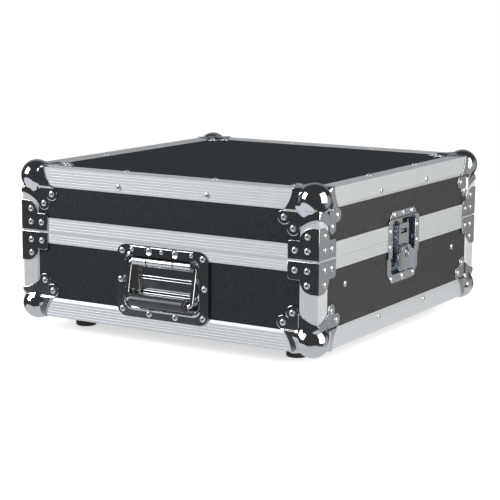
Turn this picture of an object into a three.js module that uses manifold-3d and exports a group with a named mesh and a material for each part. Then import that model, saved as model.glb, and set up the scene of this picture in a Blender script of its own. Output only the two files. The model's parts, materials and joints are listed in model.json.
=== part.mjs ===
// Flight case with a lift-off lid, a recessed sprung handle and two butterfly latches.
// Millimetres, +Z up. The origin is on the floor, under the middle of the case with its handle.
// The handle faces -Y. Sizes are set from the case's underside, which stands on the feet.

import * as THREE from 'three';
import { mergeVertices } from 'three/addons/utils/BufferGeometryUtils.js';
import { ConvexGeometry } from 'three/addons/geometries/ConvexGeometry.js';
import Module from 'manifold-3d';

const wasm = await Module();
wasm.setup();

// Case, over the outer faces of the aluminium angles
const caseWidth = 521;
const caseDepth = 536;
const seamHeight = 132;
const lidHeight = 100;
const seamGap = 0.6;

// Clearances
const fitGap = 0.3;
const cutOverrun = 5;

// Boards
const boardThickness = 7;

// Aluminium angles along the edges
const angleLeg = 30;
const angleThickness = 1.5;
const angleSetback = 36;
const ribPitch = 7.5;
const ribDepth = 0.45;

// Rims: the tongue is on the base, the groove is in the lid
const baseRimLeg = 17;
const lidRimLeg = 22;
const rimWall = 1.5;
const baseRimInnerLeg = 12;
const lidRimInnerLeg = 14;
const tongueWidth = 2.6;
const tongueTipWidth = 1.8;
const tongueHeight = 4;
const grooveGap = 0.5;
const grooveRoofGap = 0.6;

// Ball corners
const ballRadius = 24;
const ballInset = 16;
const sheetThickness = 1.3;
const cornerEdgeReach = 42;
const cornerRivetLong = 56;
const cornerRivetShort = 41;
const lobeRadius = 11;
const cornerCurvePull = 14;
const cornerCutback = 17;
const boardCornerGap = 0.4;

// Corner braces beside the seam
const braceArm = 50;
const braceRise = 28;
const braceWidth = 30.8;
const braceReach = 47;
const braceRound = 20;
const braceTipRound = 5;
const braceSeamGap = 1.4;
const braceRivetNear = 17;
const braceRivetHigh = 34.5;

// Rivets that hold two pieces of one node together
const rivetRadius = 4.6;
const rivetTopRadius = 3;
const rivetHeight = 1.5;

// Rubber feet
const footRadius = 16.8;
const footTipRadius = 15;
const footTipRound = 2;
const footHeight = 23;
const footInsetX = 69.5;
const footInsetY = 66.5;

// Rack rails
const railLength = 489;
const railThickness = 2;
const railBelowSeam = 27.3;
const railDrop = 30;
const railWidth = 27;
const railHoleInset = 8.15;
const railHoleSide = 9.5;
const rackHoleStep = 15.875;
const rackHoleEdge = 6.35;
const railNotchClearance = 2;

// Handle dish: its flange's margins to the seam and to the case's underside, and its opening's to the flange
const handleBelowSeam = 4.2;
const handleOverUnderside = 18.9;
const handleOpeningWidth = 127;
const handleSideBorder = 17.5;
const handleTopBorder = 14.9;
const handleBottomBorder = 15.5;
const handleFlangeRound = 16;
const handleOpeningRound = 10;
const handleDishDepth = 12.7;
const handleSideSlope = 17.5;
const handleTopSlope = 2;
const handleBottomSlope = 16;
const dishSheet = 1.2;
const boardCutGap = 0.5;

// Handle bracket, bail, grip and spring
const hingeUnderOpeningTop = 8.9;
const hingeInset = 1;
const barrelRadius = 7.2;
const barrelBore = 5.8;
const endBarrelBore = 3.9;
const middleBarrelLeft = 25.7;
const middleBarrelRight = 21;
const barrelSlit = 1.2;
const bracketSideInset = 6.5;
const bracketTopInset = 1.5;
const bracketThickness = 1.4;
const bracketScallopRadius = 6.2;
const bracketScallopOffset = 23.1;
const bracketScallopInset = 6.5;
const bailRadius = 3.5;
const bailArmInset = 6.2;
const bailBend = 5;
const bailEndGap = 3;
const gripOverOpeningBottom = 13.2;
const gripProud = 10.6;
const gripRadius = 10;
const gripBore = 3.9;
const gripEndGap = 2.3;
const gripEndRound = 2.5;
const springCoilRadius = 4.6;
const springWireRadius = 0.65;
const springTurns = 5;
const springHalfLength = 17;

// Latch dish, split at the seam. Its heights, and those of the mechanism and the keeper, are over the seam.
const latchFlangeWidth = 105;
const latchFlangeBottom = -68.2;
const latchFlangeTop = 41.5;
const latchFlangeChamfer = 16;
const latchOpeningWidth = 78;
const latchOpeningBottom = -55;
const latchOpeningTop = 30;
const latchOpeningRound = 7;
const latchDishDepth = 12.5;
const latchDishSlope = 1.2;

// Latch mechanism
const spindleHeight = -24;
const spindleRadius = 2.5;
const spindleBoreGap = 0.4;
const camThrow = 3.5;
const camSideGap = 0.4;
const camTopGap = 1.1;
const latchPlateThickness = 1.6;
const latchPlateWidth = 48;
const latchPlateBottom = -46;
const latchPlateTop = -4;
const plateRivetInset = 5;
const plateRivetSide = 2.4;
const plateRivetRadius = 2;
const plateRivetTopRadius = 1.3;
const cheekThickness = 1.8;
const cheekHeight = 3.8;
const hookSheet = 2.2;
const hookDepth = 9.3;
const hookStandOff = 0.6;
const hookHalfWidth = 17.2;
const hookGuideGap = 0.4;
const hookBottom = -39.5;
const hookTop = 20.5;
const hookCorner = 3;
const hookSlotHalfWidth = 11;
const hookSlotBottom = 5;
const hookSlotTop = 12;
const armHalfWidth = 4.4;
const armThickness = 2;
const armStandOff = 0.7;
const bossRadius = 5.3;
const bossHeight = 2.5;
const wingPinOffset = 10;
const wingPinRadius = 1.2;
const wingKnuckleRadius = 2.4;
const wingKnuckleEnd = 11;
const wingThickness = 1.8;
const wingHalfWidth = 31.2;
const wingTopHalfWidth = 13.6;
const wingDrop = 26.8;
const wingHoleGap = 0.9;

// Keeper in the lid half of the latch dish
const keeperHalfWidth = 15;
const keeperBottom = 3;
const keeperTop = 25;
const keeperThickness = 1.4;
const keeperLipHalfWidth = 10;
const keeperLipBottom = 6.6;
const keeperLipTop = 9.6;
const keeperRivetHeight = 18;

// Foam pad under the lid's top board
const foamThickness = 20;
const foamSideGap = 1.5;

// Facet counts
const ballFacets = 12;
const ballRings = 8;
const cornerArcSteps = 2;
const roundFacets = 16;
const smallFacets = 12;
const dishCornerSteps = 2;
const rivetFacets = 6;
const bailFacets = 8;
const bailBendSteps = 3;
const springSteps = 6;
const springFacets = 4;

// Heights at the seam
const caseHeight = seamHeight + lidHeight;
const baseRimTop = seamHeight - seamGap / 2;
const lidRimBottom = seamHeight + seamGap / 2;

// Levels, as heights over the outer face of the angles (negative is further in)
const boardFace = -(angleThickness + fitGap);
const boardBack = boardFace - boardThickness;
const overlayBack = fitGap;
const overlayFace = fitGap + sheetThickness;
const lobeBack = boardFace + fitGap;
const lobeFace = lobeBack + sheetThickness;
const rimDepth = rimWall - boardBack + fitGap;
const tongueSeatDepth = rimDepth / 2 + fitGap / 2;
const lidWebTop = tongueHeight + grooveRoofGap + rimWall;
const ballProud = ballRadius - ballInset;
const gripReach = gripProud + gripRadius;
const frameShift = (gripReach - ballProud) / 2;

// Heights and half widths on the front face
const railTopHeight = seamHeight - railBelowSeam;
const handleFlangeTop = seamHeight - handleBelowSeam;
const handleFlangeBottom = handleOverUnderside;
const handleFlangeHalf = handleOpeningWidth / 2 + handleSideBorder;
const handleOpeningTop = handleFlangeTop - handleTopBorder;
const handleOpeningBottom = handleFlangeBottom + handleBottomBorder;
const hingeHeight = handleOpeningTop - hingeUnderOpeningTop;
const gripHeight = handleOpeningBottom + gripOverOpeningBottom;
const bailArmOffset = handleOpeningWidth / 2 - bailArmInset;
const barrelHalfLength = bailArmOffset - bailBend - fitGap;
const gripHalfLength = bailArmOffset - bailBend - gripEndGap;
const bracketHalfWidth = handleOpeningWidth / 2 - bracketSideInset;
const bracketTop = handleFlangeTop - bracketTopInset;
const bracketScallopHeight = handleFlangeTop - bracketScallopInset;

// Materials
function metal(color, roughness, metalness) {
  return new THREE.MeshStandardMaterial({ color, roughness, metalness });
}
const aluminium = metal(0xc3c7cc, 0.32, 0.9);
const chrome = metal(0xd4d7da, 0.12, 1);
const zinc = metal(0xb4b8bc, 0.3, 0.9);
const steel = metal(0x8f9498, 0.35, 0.9);
const laminate = metal(0x2f3337, 0.55, 0);
const rubber = metal(0x18191a, 0.75, 0);
const foam = metal(0x26282a, 0.95, 0);

// Closed geometry to a solid for cutting and joining, and back
function solid(geometry) {
  const bare = geometry.clone();
  bare.deleteAttribute('normal');
  bare.deleteAttribute('uv');
  const merged = mergeVertices(bare);
  const vertProperties = merged.attributes.position.array;
  const triVerts = new Uint32Array(merged.index.array);
  return new wasm.Manifold(new wasm.Mesh({ numProp: 3, vertProperties, triVerts }));
}

function shapeOf(manifold) {
  const mesh = manifold.asOriginal().getMesh();
  const geometry = new THREE.BufferGeometry();
  geometry.setAttribute('position', new THREE.BufferAttribute(mesh.vertProperties, 3));
  geometry.setIndex(new THREE.BufferAttribute(mesh.triVerts, 1));
  const flat = geometry.toNonIndexed();
  flat.computeVertexNormals();
  return flat;
}

function join(...solids) {
  return solids.reduce((sum, next) => sum.add(next));
}

// Solid from rings of [x, y, z] points, all with the same count, capped at both ends
function loft(rings) {
  const count = rings[0].length;
  const positions = rings.flat(2);
  const index = [];
  for (let ring = 0; ring + 1 < rings.length; ring++) {
    for (let i = 0; i < count; i++) {
      const next = (i + 1) % count;
      const a = ring * count + i;
      const b = ring * count + next;
      index.push(a, b, b + count);
      index.push(a, b + count, a + count);
    }
  }
  const last = (rings.length - 1) * count;
  for (let i = 1; i + 1 < count; i++) {
    index.push(0, i + 1, i);
    index.push(last, last + i, last + i + 1);
  }
  const geometry = new THREE.BufferGeometry();
  geometry.setAttribute('position', new THREE.Float32BufferAttribute(positions, 3));
  geometry.setIndex(index);
  const flat = geometry.toNonIndexed();
  flat.computeVertexNormals();
  return flat;
}

// Ring of a rectangle with rounded or cut corners, counter-clockwise
function cornerRing(box, round, steps, cut = false) {
  const centres = [
    [box.right - round, box.top - round],
    [box.left + round, box.top - round],
    [box.left + round, box.bottom + round],
    [box.right - round, box.bottom + round],
  ];
  const points = [];
  centres.forEach(([x, y], corner) => {
    for (let i = 0; i <= steps; i++) {
      const start = corner * Math.PI / 2;
      if (cut) {
        const share = i / steps;
        const a = [Math.cos(start), Math.sin(start)];
        const b = [Math.cos(start + Math.PI / 2), Math.sin(start + Math.PI / 2)];
        const along = (k) => a[k] * (1 - share) + b[k] * share;
        points.push([x + round * along(0), y + round * along(1)]);
      } else {
        const angle = start + i / steps * Math.PI / 2;
        points.push([x + round * Math.cos(angle), y + round * Math.sin(angle)]);
      }
    }
  });
  return points;
}

function circleRing(radius, count) {
  const points = [];
  for (let i = 0; i < count; i++) {
    const angle = i / count * 2 * Math.PI;
    points.push([radius * Math.cos(angle), radius * Math.sin(angle)]);
  }
  return points;
}

function atLevel(ring, level) {
  return ring.map(([x, y]) => [x, y, level]);
}

// Faces of the case: u runs to the right and v up as one looks at the face, the third axis points out
function faceFrame(origin, u, v) {
  const out = new THREE.Vector3().crossVectors(u, v);
  return new THREE.Matrix4().makeBasis(u, v, out).setPosition(origin);
}
const axisX = new THREE.Vector3(1, 0, 0);
const axisY = new THREE.Vector3(0, 1, 0);
const axisZ = new THREE.Vector3(0, 0, 1);
const minusX = axisX.clone().negate();
const minusY = axisY.clone().negate();
const faces = {
  front: faceFrame(new THREE.Vector3(0, -caseDepth / 2, 0), axisX, axisZ),
  back: faceFrame(new THREE.Vector3(0, caseDepth / 2, 0), minusX, axisZ),
  right: faceFrame(new THREE.Vector3(caseWidth / 2, 0, 0), axisY, axisZ),
  left: faceFrame(new THREE.Vector3(-caseWidth / 2, 0, 0), minusY, axisZ),
  top: faceFrame(new THREE.Vector3(0, 0, caseHeight), axisX, axisY),
  bottom: faceFrame(new THREE.Vector3(0, 0, 0), axisX, minusY),
};
const sideFaces = ['front', 'right', 'back', 'left'];

function faceHalfWidth(name) {
  return name === 'front' || name === 'back' ? caseWidth / 2 : caseDepth / 2;
}

function onFace(geometry, name) {
  return geometry.applyMatrix4(faces[name]);
}

// A latch is drawn with the seam at height zero
function onLatchFace(geometry, name) {
  return onFace(geometry.translate(0, seamHeight, 0), name);
}

// Flat sheet of a shape between two levels
function sheet(shape, low, high, curveSegments = cornerArcSteps) {
  const options = { depth: high - low, bevelEnabled: false, curveSegments };
  return new THREE.ExtrudeGeometry(shape, options).translate(0, 0, low);
}

function polygon(points) {
  return new THREE.Shape(points.map(([x, y]) => new THREE.Vector2(x, y)));
}

function block(left, right, near, far, low, high) {
  const geometry = new THREE.BoxGeometry(right - left, far - near, high - low);
  return geometry.translate((left + right) / 2, (near + far) / 2, (low + high) / 2);
}

function disc(radius, low, high, count = smallFacets) {
  const ring = circleRing(radius, count);
  return loft([atLevel(ring, low), atLevel(ring, high)]);
}

// Round bar or tube along u, between two places
function tubeAlongU(outer, inner, from, to) {
  const quarter = Math.PI / 2;
  const turn = new THREE.Matrix4().makeRotationY(quarter);
  const bar = solid(disc(outer, from, to).applyMatrix4(turn));
  if (inner <= 0) {
    return bar;
  }
  const bore = disc(inner, from - cutOverrun, to + cutOverrun).applyMatrix4(turn);
  return bar.subtract(solid(bore));
}

// Domed rivet head on a face at a level, reaching down into what carries it
function rivet(x, y, level, depth, radius = rivetRadius, topRadius = rivetTopRadius) {
  const base = circleRing(radius, rivetFacets);
  const crown = circleRing(topRadius, rivetFacets);
  const rings = [atLevel(base, level - depth), atLevel(base, level), atLevel(crown, level + rivetHeight)];
  return solid(loft(rings).translate(x, y, 0));
}

// Meshes
const model = new THREE.Group();
model.position.set(0, frameShift, footHeight);

function addPiece(name, geometry, material) {
  const mesh = new THREE.Mesh(geometry, material);
  mesh.name = name;
  model.add(mesh);
}

// Boards
function cornerlessBoard(low, high, outerSide) {
  const x = caseWidth / 2 + boardFace;
  const y = caseDepth / 2 + boardFace;
  const cut = chamferLeg(boardFace);
  const outer = outerSide > 0 ? high : low;
  const inner = outerSide > 0 ? low : high;
  const points = [];
  for (const sx of [-1, 1]) {
    for (const sy of [-1, 1]) {
      points.push(new THREE.Vector3(sx * x, sy * y, inner));
      points.push(new THREE.Vector3(sx * (x - cut), sy * y, outer));
      points.push(new THREE.Vector3(sx * x, sy * (y - cut), outer));
      points.push(new THREE.Vector3(sx * x, sy * y, outer - outerSide * cut));
    }
  }
  return new ConvexGeometry(points);
}

// A ball's sheet passes close over the board's corner, which is cut back to clear it.
// The cut's three corners lie at this distance from the board's own corner.
function chamferLeg(level) {
  const side = ballInset + level;
  const innerRadius = ballRadius - sheetThickness - boardCornerGap;
  return side - Math.sqrt(innerRadius ** 2 - 2 * side ** 2);
}

function latchCut() {
  const half = latchOpeningWidth / 2 + dishSheet + boardCutGap;
  const low = latchOpeningBottom - dishSheet - boardCutGap;
  const high = latchOpeningTop + dishSheet + boardCutGap;
  const deep = -(rimDepth + cutOverrun);
  return block(-half, half, low, high, deep, cutOverrun);
}

function handleCut() {
  const grow = dishSheet + boardCutGap;
  const box = handleOpeningBox(grow);
  const ring = cornerRing(box, handleOpeningRound, dishCornerSteps);
  return loft([atLevel(ring, boardBack - cutOverrun), atLevel(ring, cutOverrun)]);
}

function wallBoard(name, low, high) {
  const isEndWall = name === 'front' || name === 'back';
  const half = faceHalfWidth(name) + (isEndWall ? boardBack - fitGap : boardFace);
  return onFace(block(-half, half, low, high, boardBack, boardFace), name);
}

function boards(part, low, high) {
  for (const name of sideFaces) {
    let wall = wallBoard(name, low, high);
    if (name === 'left' || name === 'right') {
      wall = shapeOf(solid(wall).subtract(solid(onLatchFace(latchCut(), name))));
    }
    if (part === 'base' && name === 'front') {
      wall = shapeOf(solid(wall).subtract(solid(onFace(handleCut(), name))));
    }
    addPiece(`${part}_${name}_board`, wall, laminate);
  }
}

const bottomBoardTop = -boardBack;
const topBoardBottom = caseHeight + boardBack;
addPiece('base_bottom_board', cornerlessBoard(-boardFace, bottomBoardTop, -1), laminate);
addPiece('lid_top_board', cornerlessBoard(topBoardBottom, caseHeight + boardFace, 1), laminate);
boards('base', bottomBoardTop + fitGap, baseRimTop - rimWall - fitGap);
boards('lid', lidRimBottom + lidWebTop + fitGap, topBoardBottom - fitGap);

// Aluminium angles: a leg's outer face has fine lengthwise ribs with a valley between each two
function ribbedLine(from, to) {
  const count = Math.round((to - from) / ribPitch);
  const pitch = (to - from) / count;
  const points = [];
  for (let i = 0; i < count; i++) {
    points.push([from + (i + 0.5) * pitch, ribDepth]);
    if (i + 1 < count) {
      points.push([from + (i + 1) * pitch, 0]);
    }
  }
  return points;
}

function angleSection() {
  const ribs = ribbedLine(0, angleLeg);
  const points = [[0, 0], ...ribs, [angleLeg, 0], [angleLeg, angleThickness]];
  points.push([angleThickness, angleThickness], [angleThickness, angleLeg], [0, angleLeg]);
  points.push(...ribs.map(([along, deep]) => [deep, along]).reverse());
  return points;
}

// Bar with a section drawn in two given directions, centred on a place along the third
function bar(section, first, second, place, length) {
  const along = new THREE.Vector3().crossVectors(first, second);
  const geometry = sheet(polygon(section), -length / 2, length / 2);
  return geometry.applyMatrix4(new THREE.Matrix4().makeBasis(first, second, along).setPosition(place));
}

function edgeAngles(part, level, up) {
  const vertical = axisZ.clone().multiplyScalar(up);
  for (const name of sideFaces) {
    const inward = new THREE.Vector3().setFromMatrixColumn(faces[name], 2).negate();
    const place = new THREE.Vector3().setFromMatrixPosition(faces[name]).setZ(level);
    const length = 2 * (faceHalfWidth(name) - angleSetback);
    addPiece(`${part}_${name}_angle`, bar(angleSection(), vertical, inward, place, length), aluminium);
  }
}

edgeAngles('base', 0, 1);
edgeAngles('lid', caseHeight, -1);

// Rims: sections as [depth behind the outer face, height over the rim's seam face]
function baseRimSection() {
  const innerLegFace = rimDepth - rimWall;
  const tongueLeft = tongueSeatDepth - tongueWidth / 2;
  const tongueRight = tongueSeatDepth + tongueWidth / 2;
  const tipLeft = tongueSeatDepth - tongueTipWidth / 2;
  const tipRight = tongueSeatDepth + tongueTipWidth / 2;
  const ribs = ribbedLine(0, baseRimLeg).map(([along, deep]) => [deep, -along]);
  const points = [[0, 0], ...ribs, [0, -baseRimLeg], [rimWall, -baseRimLeg], [rimWall, -rimWall]];
  points.push([innerLegFace, -rimWall], [innerLegFace, -baseRimInnerLeg], [rimDepth, -baseRimInnerLeg]);
  points.push([rimDepth, 0], [tongueRight, 0], [tipRight, tongueHeight]);
  points.push([tipLeft, tongueHeight], [tongueLeft, 0]);
  return points;
}

function lidRimSection() {
  const grooveLeft = tongueSeatDepth - tongueWidth / 2 - grooveGap;
  const grooveRight = tongueSeatDepth + tongueWidth / 2 + grooveGap;
  const grooveRoof = tongueHeight + grooveRoofGap;
  const channelFace = grooveLeft - rimWall;
  const innerLegFace = rimDepth - rimWall;
  const ribs = ribbedLine(0, lidRimLeg).map(([along, deep]) => [deep, along]).reverse();
  const points = [[0, 0], [grooveLeft, 0], [grooveLeft, grooveRoof], [grooveRight, grooveRoof]];
  points.push([grooveRight, 0], [rimDepth, 0], [rimDepth, lidRimInnerLeg], [innerLegFace, lidRimInnerLeg]);
  points.push([innerLegFace, lidWebTop], [channelFace, lidWebTop], [channelFace, rimWall]);
  points.push([rimWall, rimWall], [rimWall, lidRimLeg], [0, lidRimLeg], ...ribs);
  return points;
}

// Four bars, mitred and joined at the corners. Where the latch dishes pass they are cut through,
// which leaves a front and a back frame.
function rim(part, section, level) {
  const bars = [];
  for (const name of sideFaces) {
    const half = faceHalfWidth(name);
    const geometry = sheet(polygon(section), -half, half);
    const position = geometry.attributes.position;
    for (let i = 0; i < position.count; i++) {
      const end = Math.sign(position.getZ(i));
      position.setZ(i, end * (half - position.getX(i)));
    }
    const inward = new THREE.Vector3().setFromMatrixColumn(faces[name], 2).negate();
    const along = new THREE.Vector3().crossVectors(inward, axisZ);
    const place = new THREE.Vector3().setFromMatrixPosition(faces[name]).setZ(level);
    geometry.applyMatrix4(new THREE.Matrix4().makeBasis(inward, axisZ, along).setPosition(place));
    bars.push(solid(geometry));
  }
  const cuts = ['left', 'right'].map((name) => solid(onLatchFace(latchCut(), name)));
  const ring = join(...bars).subtract(join(...cuts));
  for (const [name, sy] of [['front', -1], ['back', 1]]) {
    const near = Math.min(0, sy * caseDepth);
    const far = Math.max(0, sy * caseDepth);
    const side = block(-caseWidth, caseWidth, near, far, 0, caseHeight);
    addPiece(`${part}_rim_${name}`, shapeOf(ring.intersect(solid(side))), aluminium);
  }
}

rim('base', baseRimSection(), baseRimTop);
rim('lid', lidRimSection(), lidRimBottom);

// Ball corners: drawn with the case's corner at the origin and the case on the negative side
function cornerPlateShape() {
  const edge = -overlayFace;
  const meet = (cornerRivetLong + cornerRivetShort) / 2;
  const halfApart = (cornerRivetLong - cornerRivetShort) / Math.SQRT2;
  const outward = Math.sqrt(lobeRadius ** 2 - halfApart ** 2) / Math.SQRT2;
  const cusp = meet + outward;
  const firstEnd = Math.atan2(cusp - cornerRivetShort, cusp - cornerRivetLong);
  const secondStart = Math.atan2(cusp - cornerRivetLong, cusp - cornerRivetShort);
  const shape = new THREE.Shape();
  shape.moveTo(edge, edge);
  shape.lineTo(cornerEdgeReach, edge);
  const bend = cornerRivetShort - lobeRadius;
  shape.quadraticCurveTo(cornerEdgeReach, cornerCurvePull, cornerRivetLong, bend);
  shape.absarc(cornerRivetLong, cornerRivetShort, lobeRadius, -Math.PI / 2, firstEnd);
  shape.absarc(cornerRivetShort, cornerRivetLong, lobeRadius, secondStart, Math.PI);
  shape.quadraticCurveTo(cornerCurvePull, cornerEdgeReach, edge, cornerEdgeReach);
  return shape;
}

function cornerPlate() {
  const jog = angleLeg + fitGap;
  const far = cornerRivetLong + lobeRadius + cutOverrun;
  const shape = cornerPlateShape();
  const low = lobeBack - cutOverrun;
  const high = overlayFace + cutOverrun;
  const inside = solid(block(jog, far, jog, far, low, high));
  const past = solid(block(jog + sheetThickness, far, jog + sheetThickness, far, low, high));
  const strip = solid(sheet(shape, overlayBack, overlayFace)).subtract(inside);
  const lobes = solid(sheet(shape, lobeBack, lobeFace)).intersect(inside);
  const riser = solid(sheet(shape, lobeBack, overlayFace)).intersect(inside.subtract(past));
  const turned = new THREE.Matrix4().makeRotationZ(Math.PI);
  return shapeOf(join(strip, lobes, riser)).applyMatrix4(turned);
}

function ballCorner() {
  const centre = -ballInset;
  const ball = new THREE.SphereGeometry(ballRadius, ballFacets, ballRings);
  const outer = solid(ball.translate(centre, centre, centre));
  const far = -(cornerRivetLong + lobeRadius);
  const cut = chamferLeg(boardFace) + boardFace - lobeBack;
  const room = [];
  for (const x of [far, lobeBack]) {
    for (const y of [far, lobeBack]) {
      for (const z of [far, lobeBack]) {
        if (x + y + z < 3 * lobeBack) {
          room.push(new THREE.Vector3(x, y, z));
        }
      }
    }
  }
  const near = lobeBack - cut;
  room.push(new THREE.Vector3(near, lobeBack, lobeBack));
  room.push(new THREE.Vector3(lobeBack, near, lobeBack));
  room.push(new THREE.Vector3(lobeBack, lobeBack, near));
  const cap = outer.subtract(solid(new ConvexGeometry(room)));
  const plate = cornerPlate();
  const cycle = new THREE.Matrix4().makeBasis(axisY, axisZ, axisX);
  const plates = [plate, plate.clone().applyMatrix4(cycle)];
  plates.push(plates[1].clone().applyMatrix4(cycle));
  const [from, to] = [-cornerCutback, cutOverrun];
  const nose = solid(block(from, to, from, to, from, to));
  const sheets = join(...plates.map(solid)).subtract(nose);
  return shapeOf(cap.add(sheets));
}

// Copy of a geometry moved by a matrix. Where the matrix mirrors it, its faces are turned back out.
function transformed(geometry, matrix) {
  const copy = geometry.index ? geometry.toNonIndexed() : geometry.clone();
  copy.applyMatrix4(matrix);
  if (matrix.determinant() < 0) {
    const position = copy.attributes.position;
    const a = new THREE.Vector3();
    const b = new THREE.Vector3();
    for (let i = 0; i < position.count; i += 3) {
      a.fromBufferAttribute(position, i + 1);
      b.fromBufferAttribute(position, i + 2);
      position.setXYZ(i + 1, b.x, b.y, b.z);
      position.setXYZ(i + 2, a.x, a.y, a.z);
    }
    copy.computeVertexNormals();
  }
  return copy;
}

function mirrored(geometry, sx, sy, sz) {
  return transformed(geometry, new THREE.Matrix4().makeScale(sx, sy, sz));
}

const ballCornerShape = ballCorner();
const cornerNames = [
  ['front_left', -1, -1], ['front_right', 1, -1], ['back_left', -1, 1], ['back_right', 1, 1],
];
for (const [name, sx, sy] of cornerNames) {
  for (const [part, sz, level] of [['base', -1, 0], ['lid', 1, caseHeight]]) {
    const corner = mirrored(ballCornerShape, sx, sy, sz);
    corner.translate(sx * caseWidth / 2, sy * caseDepth / 2, level);
    addPiece(`${part}_ball_corner_${name}`, corner, chrome);
  }
}

// Corner braces, drawn for the corner at +X and +Y over the seam at height zero
function braceShape() {
  const shape = new THREE.Shape();
  shape.moveTo(-overlayFace, braceSeamGap);
  shape.lineTo(braceArm, braceSeamGap);
  shape.lineTo(braceArm, braceRise - braceTipRound);
  shape.quadraticCurveTo(braceArm, braceRise, braceArm - braceTipRound, braceRise);
  shape.lineTo(braceWidth, braceRise);
  shape.absarc(braceWidth - braceRound, braceReach - braceRound, braceRound, 0, Math.PI / 2);
  shape.lineTo(-overlayFace, braceReach);
  return shape;
}

// One upright with the brace over its end. A rivet through each leg joins them.
function upright(low, high) {
  const plate = solid(sheet(braceShape(), overlayBack, overlayFace));
  const shank = overlayFace + angleThickness / 2;
  const alongX = new THREE.Matrix4().makeBasis(minusX, axisZ, axisY);
  const riveted = plate.add(rivet(braceRivetNear, braceRivetHigh, overlayFace, shank));
  const flatX = shapeOf(riveted).applyMatrix4(alongX);
  const swapped = new THREE.Matrix4().makeBasis(axisY, axisX, axisZ);
  const flatY = transformed(flatX, swapped);
  const middle = new THREE.Vector3(0, 0, (low + high) / 2);
  const angle = bar(angleSection(), minusX, minusY, middle, high - low);
  return shapeOf(join(solid(flatX), solid(flatY), solid(angle)));
}

function uprights(part, up, low, high) {
  const shape = upright(low, high);
  for (const [name, sx, sy] of cornerNames) {
    const piece = mirrored(shape, sx, sy, up);
    piece.translate(sx * caseWidth / 2, sy * caseDepth / 2, seamHeight);
    addPiece(`${part}_upright_${name}`, piece, aluminium);
  }
}

const rimEdgeGap = seamGap / 2 + fitGap;
uprights('base', -1, baseRimLeg + rimEdgeGap, seamHeight - angleSetback);
uprights('lid', 1, lidRimLeg + rimEdgeGap, lidHeight - angleSetback);

// Rubber feet
function foot() {
  const top = -boardFace - fitGap;
  const profile = [[0, -footHeight], [footTipRadius, -footHeight], [footRadius, -footHeight + footTipRound]];
  profile.push([footRadius, top], [0, top]);
  const points = profile.map(([radius, height]) => new THREE.Vector2(radius, height));
  const turn = new THREE.Matrix4().makeRotationX(Math.PI / 2);
  return new THREE.LatheGeometry(points, roundFacets).applyMatrix4(turn);
}

for (const [name, sx, sy] of cornerNames) {
  const x = caseWidth / 2 - footInsetX;
  const y = caseDepth / 2 - footInsetY;
  addPiece(`foot_${name}`, foot().translate(sx * x, sy * y, 0), rubber);
}

// Rack rails: square holes along the top, three to a unit, and a drop leg against the side board.
// The case is as wide as brings the two rows of holes to the 465.1 mm of 19-inch equipment.
function rackRail(side) {
  const wall = caseWidth / 2 + boardBack - fitGap;
  const inner = wall - railWidth;
  const end = railLength / 2;
  const shape = polygon([[inner, -end], [wall, -end], [wall, end], [inner, end]]);
  const rackUnit = 2 * rackHoleStep + 2 * rackHoleEdge;
  const units = Math.floor(railLength / rackUnit);
  for (let unit = 0; unit < units; unit++) {
    for (let hole = 0; hole < 3; hole++) {
      const y = (unit - units / 2) * rackUnit + rackHoleEdge + hole * rackHoleStep;
      shape.holes.push(squareHole(inner + railHoleInset, y, railHoleSide / 2));
    }
  }
  const top = solid(sheet(shape, railTopHeight - railThickness, railTopHeight));
  const leg = block(wall - railThickness, wall, -end, end, railTopHeight - railDrop, railTopHeight);
  const notchHalf = latchOpeningWidth / 2 + dishSheet + railNotchClearance;
  const notchFace = caseWidth / 2 + overlayFace - latchDishDepth - dishSheet - fitGap;
  const low = railTopHeight - railDrop - cutOverrun;
  const high = railTopHeight + cutOverrun;
  const notch = block(notchFace, wall + cutOverrun, -notchHalf, notchHalf, low, high);
  const rail = shapeOf(top.add(solid(leg)).subtract(solid(notch)));
  return mirrored(rail, side, 1, 1);
}

function squareHole(x, y, half) {
  const points = [[x - half, y - half], [x - half, y + half], [x + half, y + half], [x + half, y - half]];
  return new THREE.Path(points.map(([a, b]) => new THREE.Vector2(a, b)));
}

addPiece('rack_rail_left', rackRail(-1), steel);
addPiece('rack_rail_right', rackRail(1), steel);

// Pressed dishes: a flange, sloping walls and a floor, from rings of the front and then of the back.
// A profile lists shares of the wall's slope with shares of the dish's depth.
const scoopShares = [[0, 0], [0.1, 0.45], [0.42, 0.86], [1, 1]];
const panShares = [[0, 0], [1, 1]];

function pressedDish(flange, opening, slopes, depth, profile) {
  const steps = dishCornerSteps;
  const inset = (box, share) => ({
    left: box.left + slopes.side * share,
    right: box.right - slopes.side * share,
    bottom: box.bottom + slopes.bottom * share,
    top: box.top - slopes.top * share,
  });
  const grow = (box, by) => ({
    left: box.left - by,
    right: box.right + by,
    bottom: box.bottom - by,
    top: box.top + by,
  });
  const edge = cornerRing(flange, flange.round, steps, flange.isCut);
  const front = profile.map(([share, down]) => {
    const ring = cornerRing(inset(opening, share), opening.round, steps);
    return atLevel(ring, overlayFace - down * depth);
  });
  const back = profile.map(([share, down]) => {
    const ring = cornerRing(grow(inset(opening, share), dishSheet), opening.round + dishSheet, steps);
    return atLevel(ring, overlayBack - down * (depth - sheetThickness + dishSheet));
  });
  const rings = [...back.reverse(), atLevel(edge, overlayBack), atLevel(edge, overlayFace), ...front];
  return loft(rings);
}

// Handle dish
function handleOpeningBox(grow) {
  return {
    left: -handleOpeningWidth / 2 - grow,
    right: handleOpeningWidth / 2 + grow,
    bottom: handleOpeningBottom - grow,
    top: handleOpeningTop + grow,
  };
}

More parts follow.
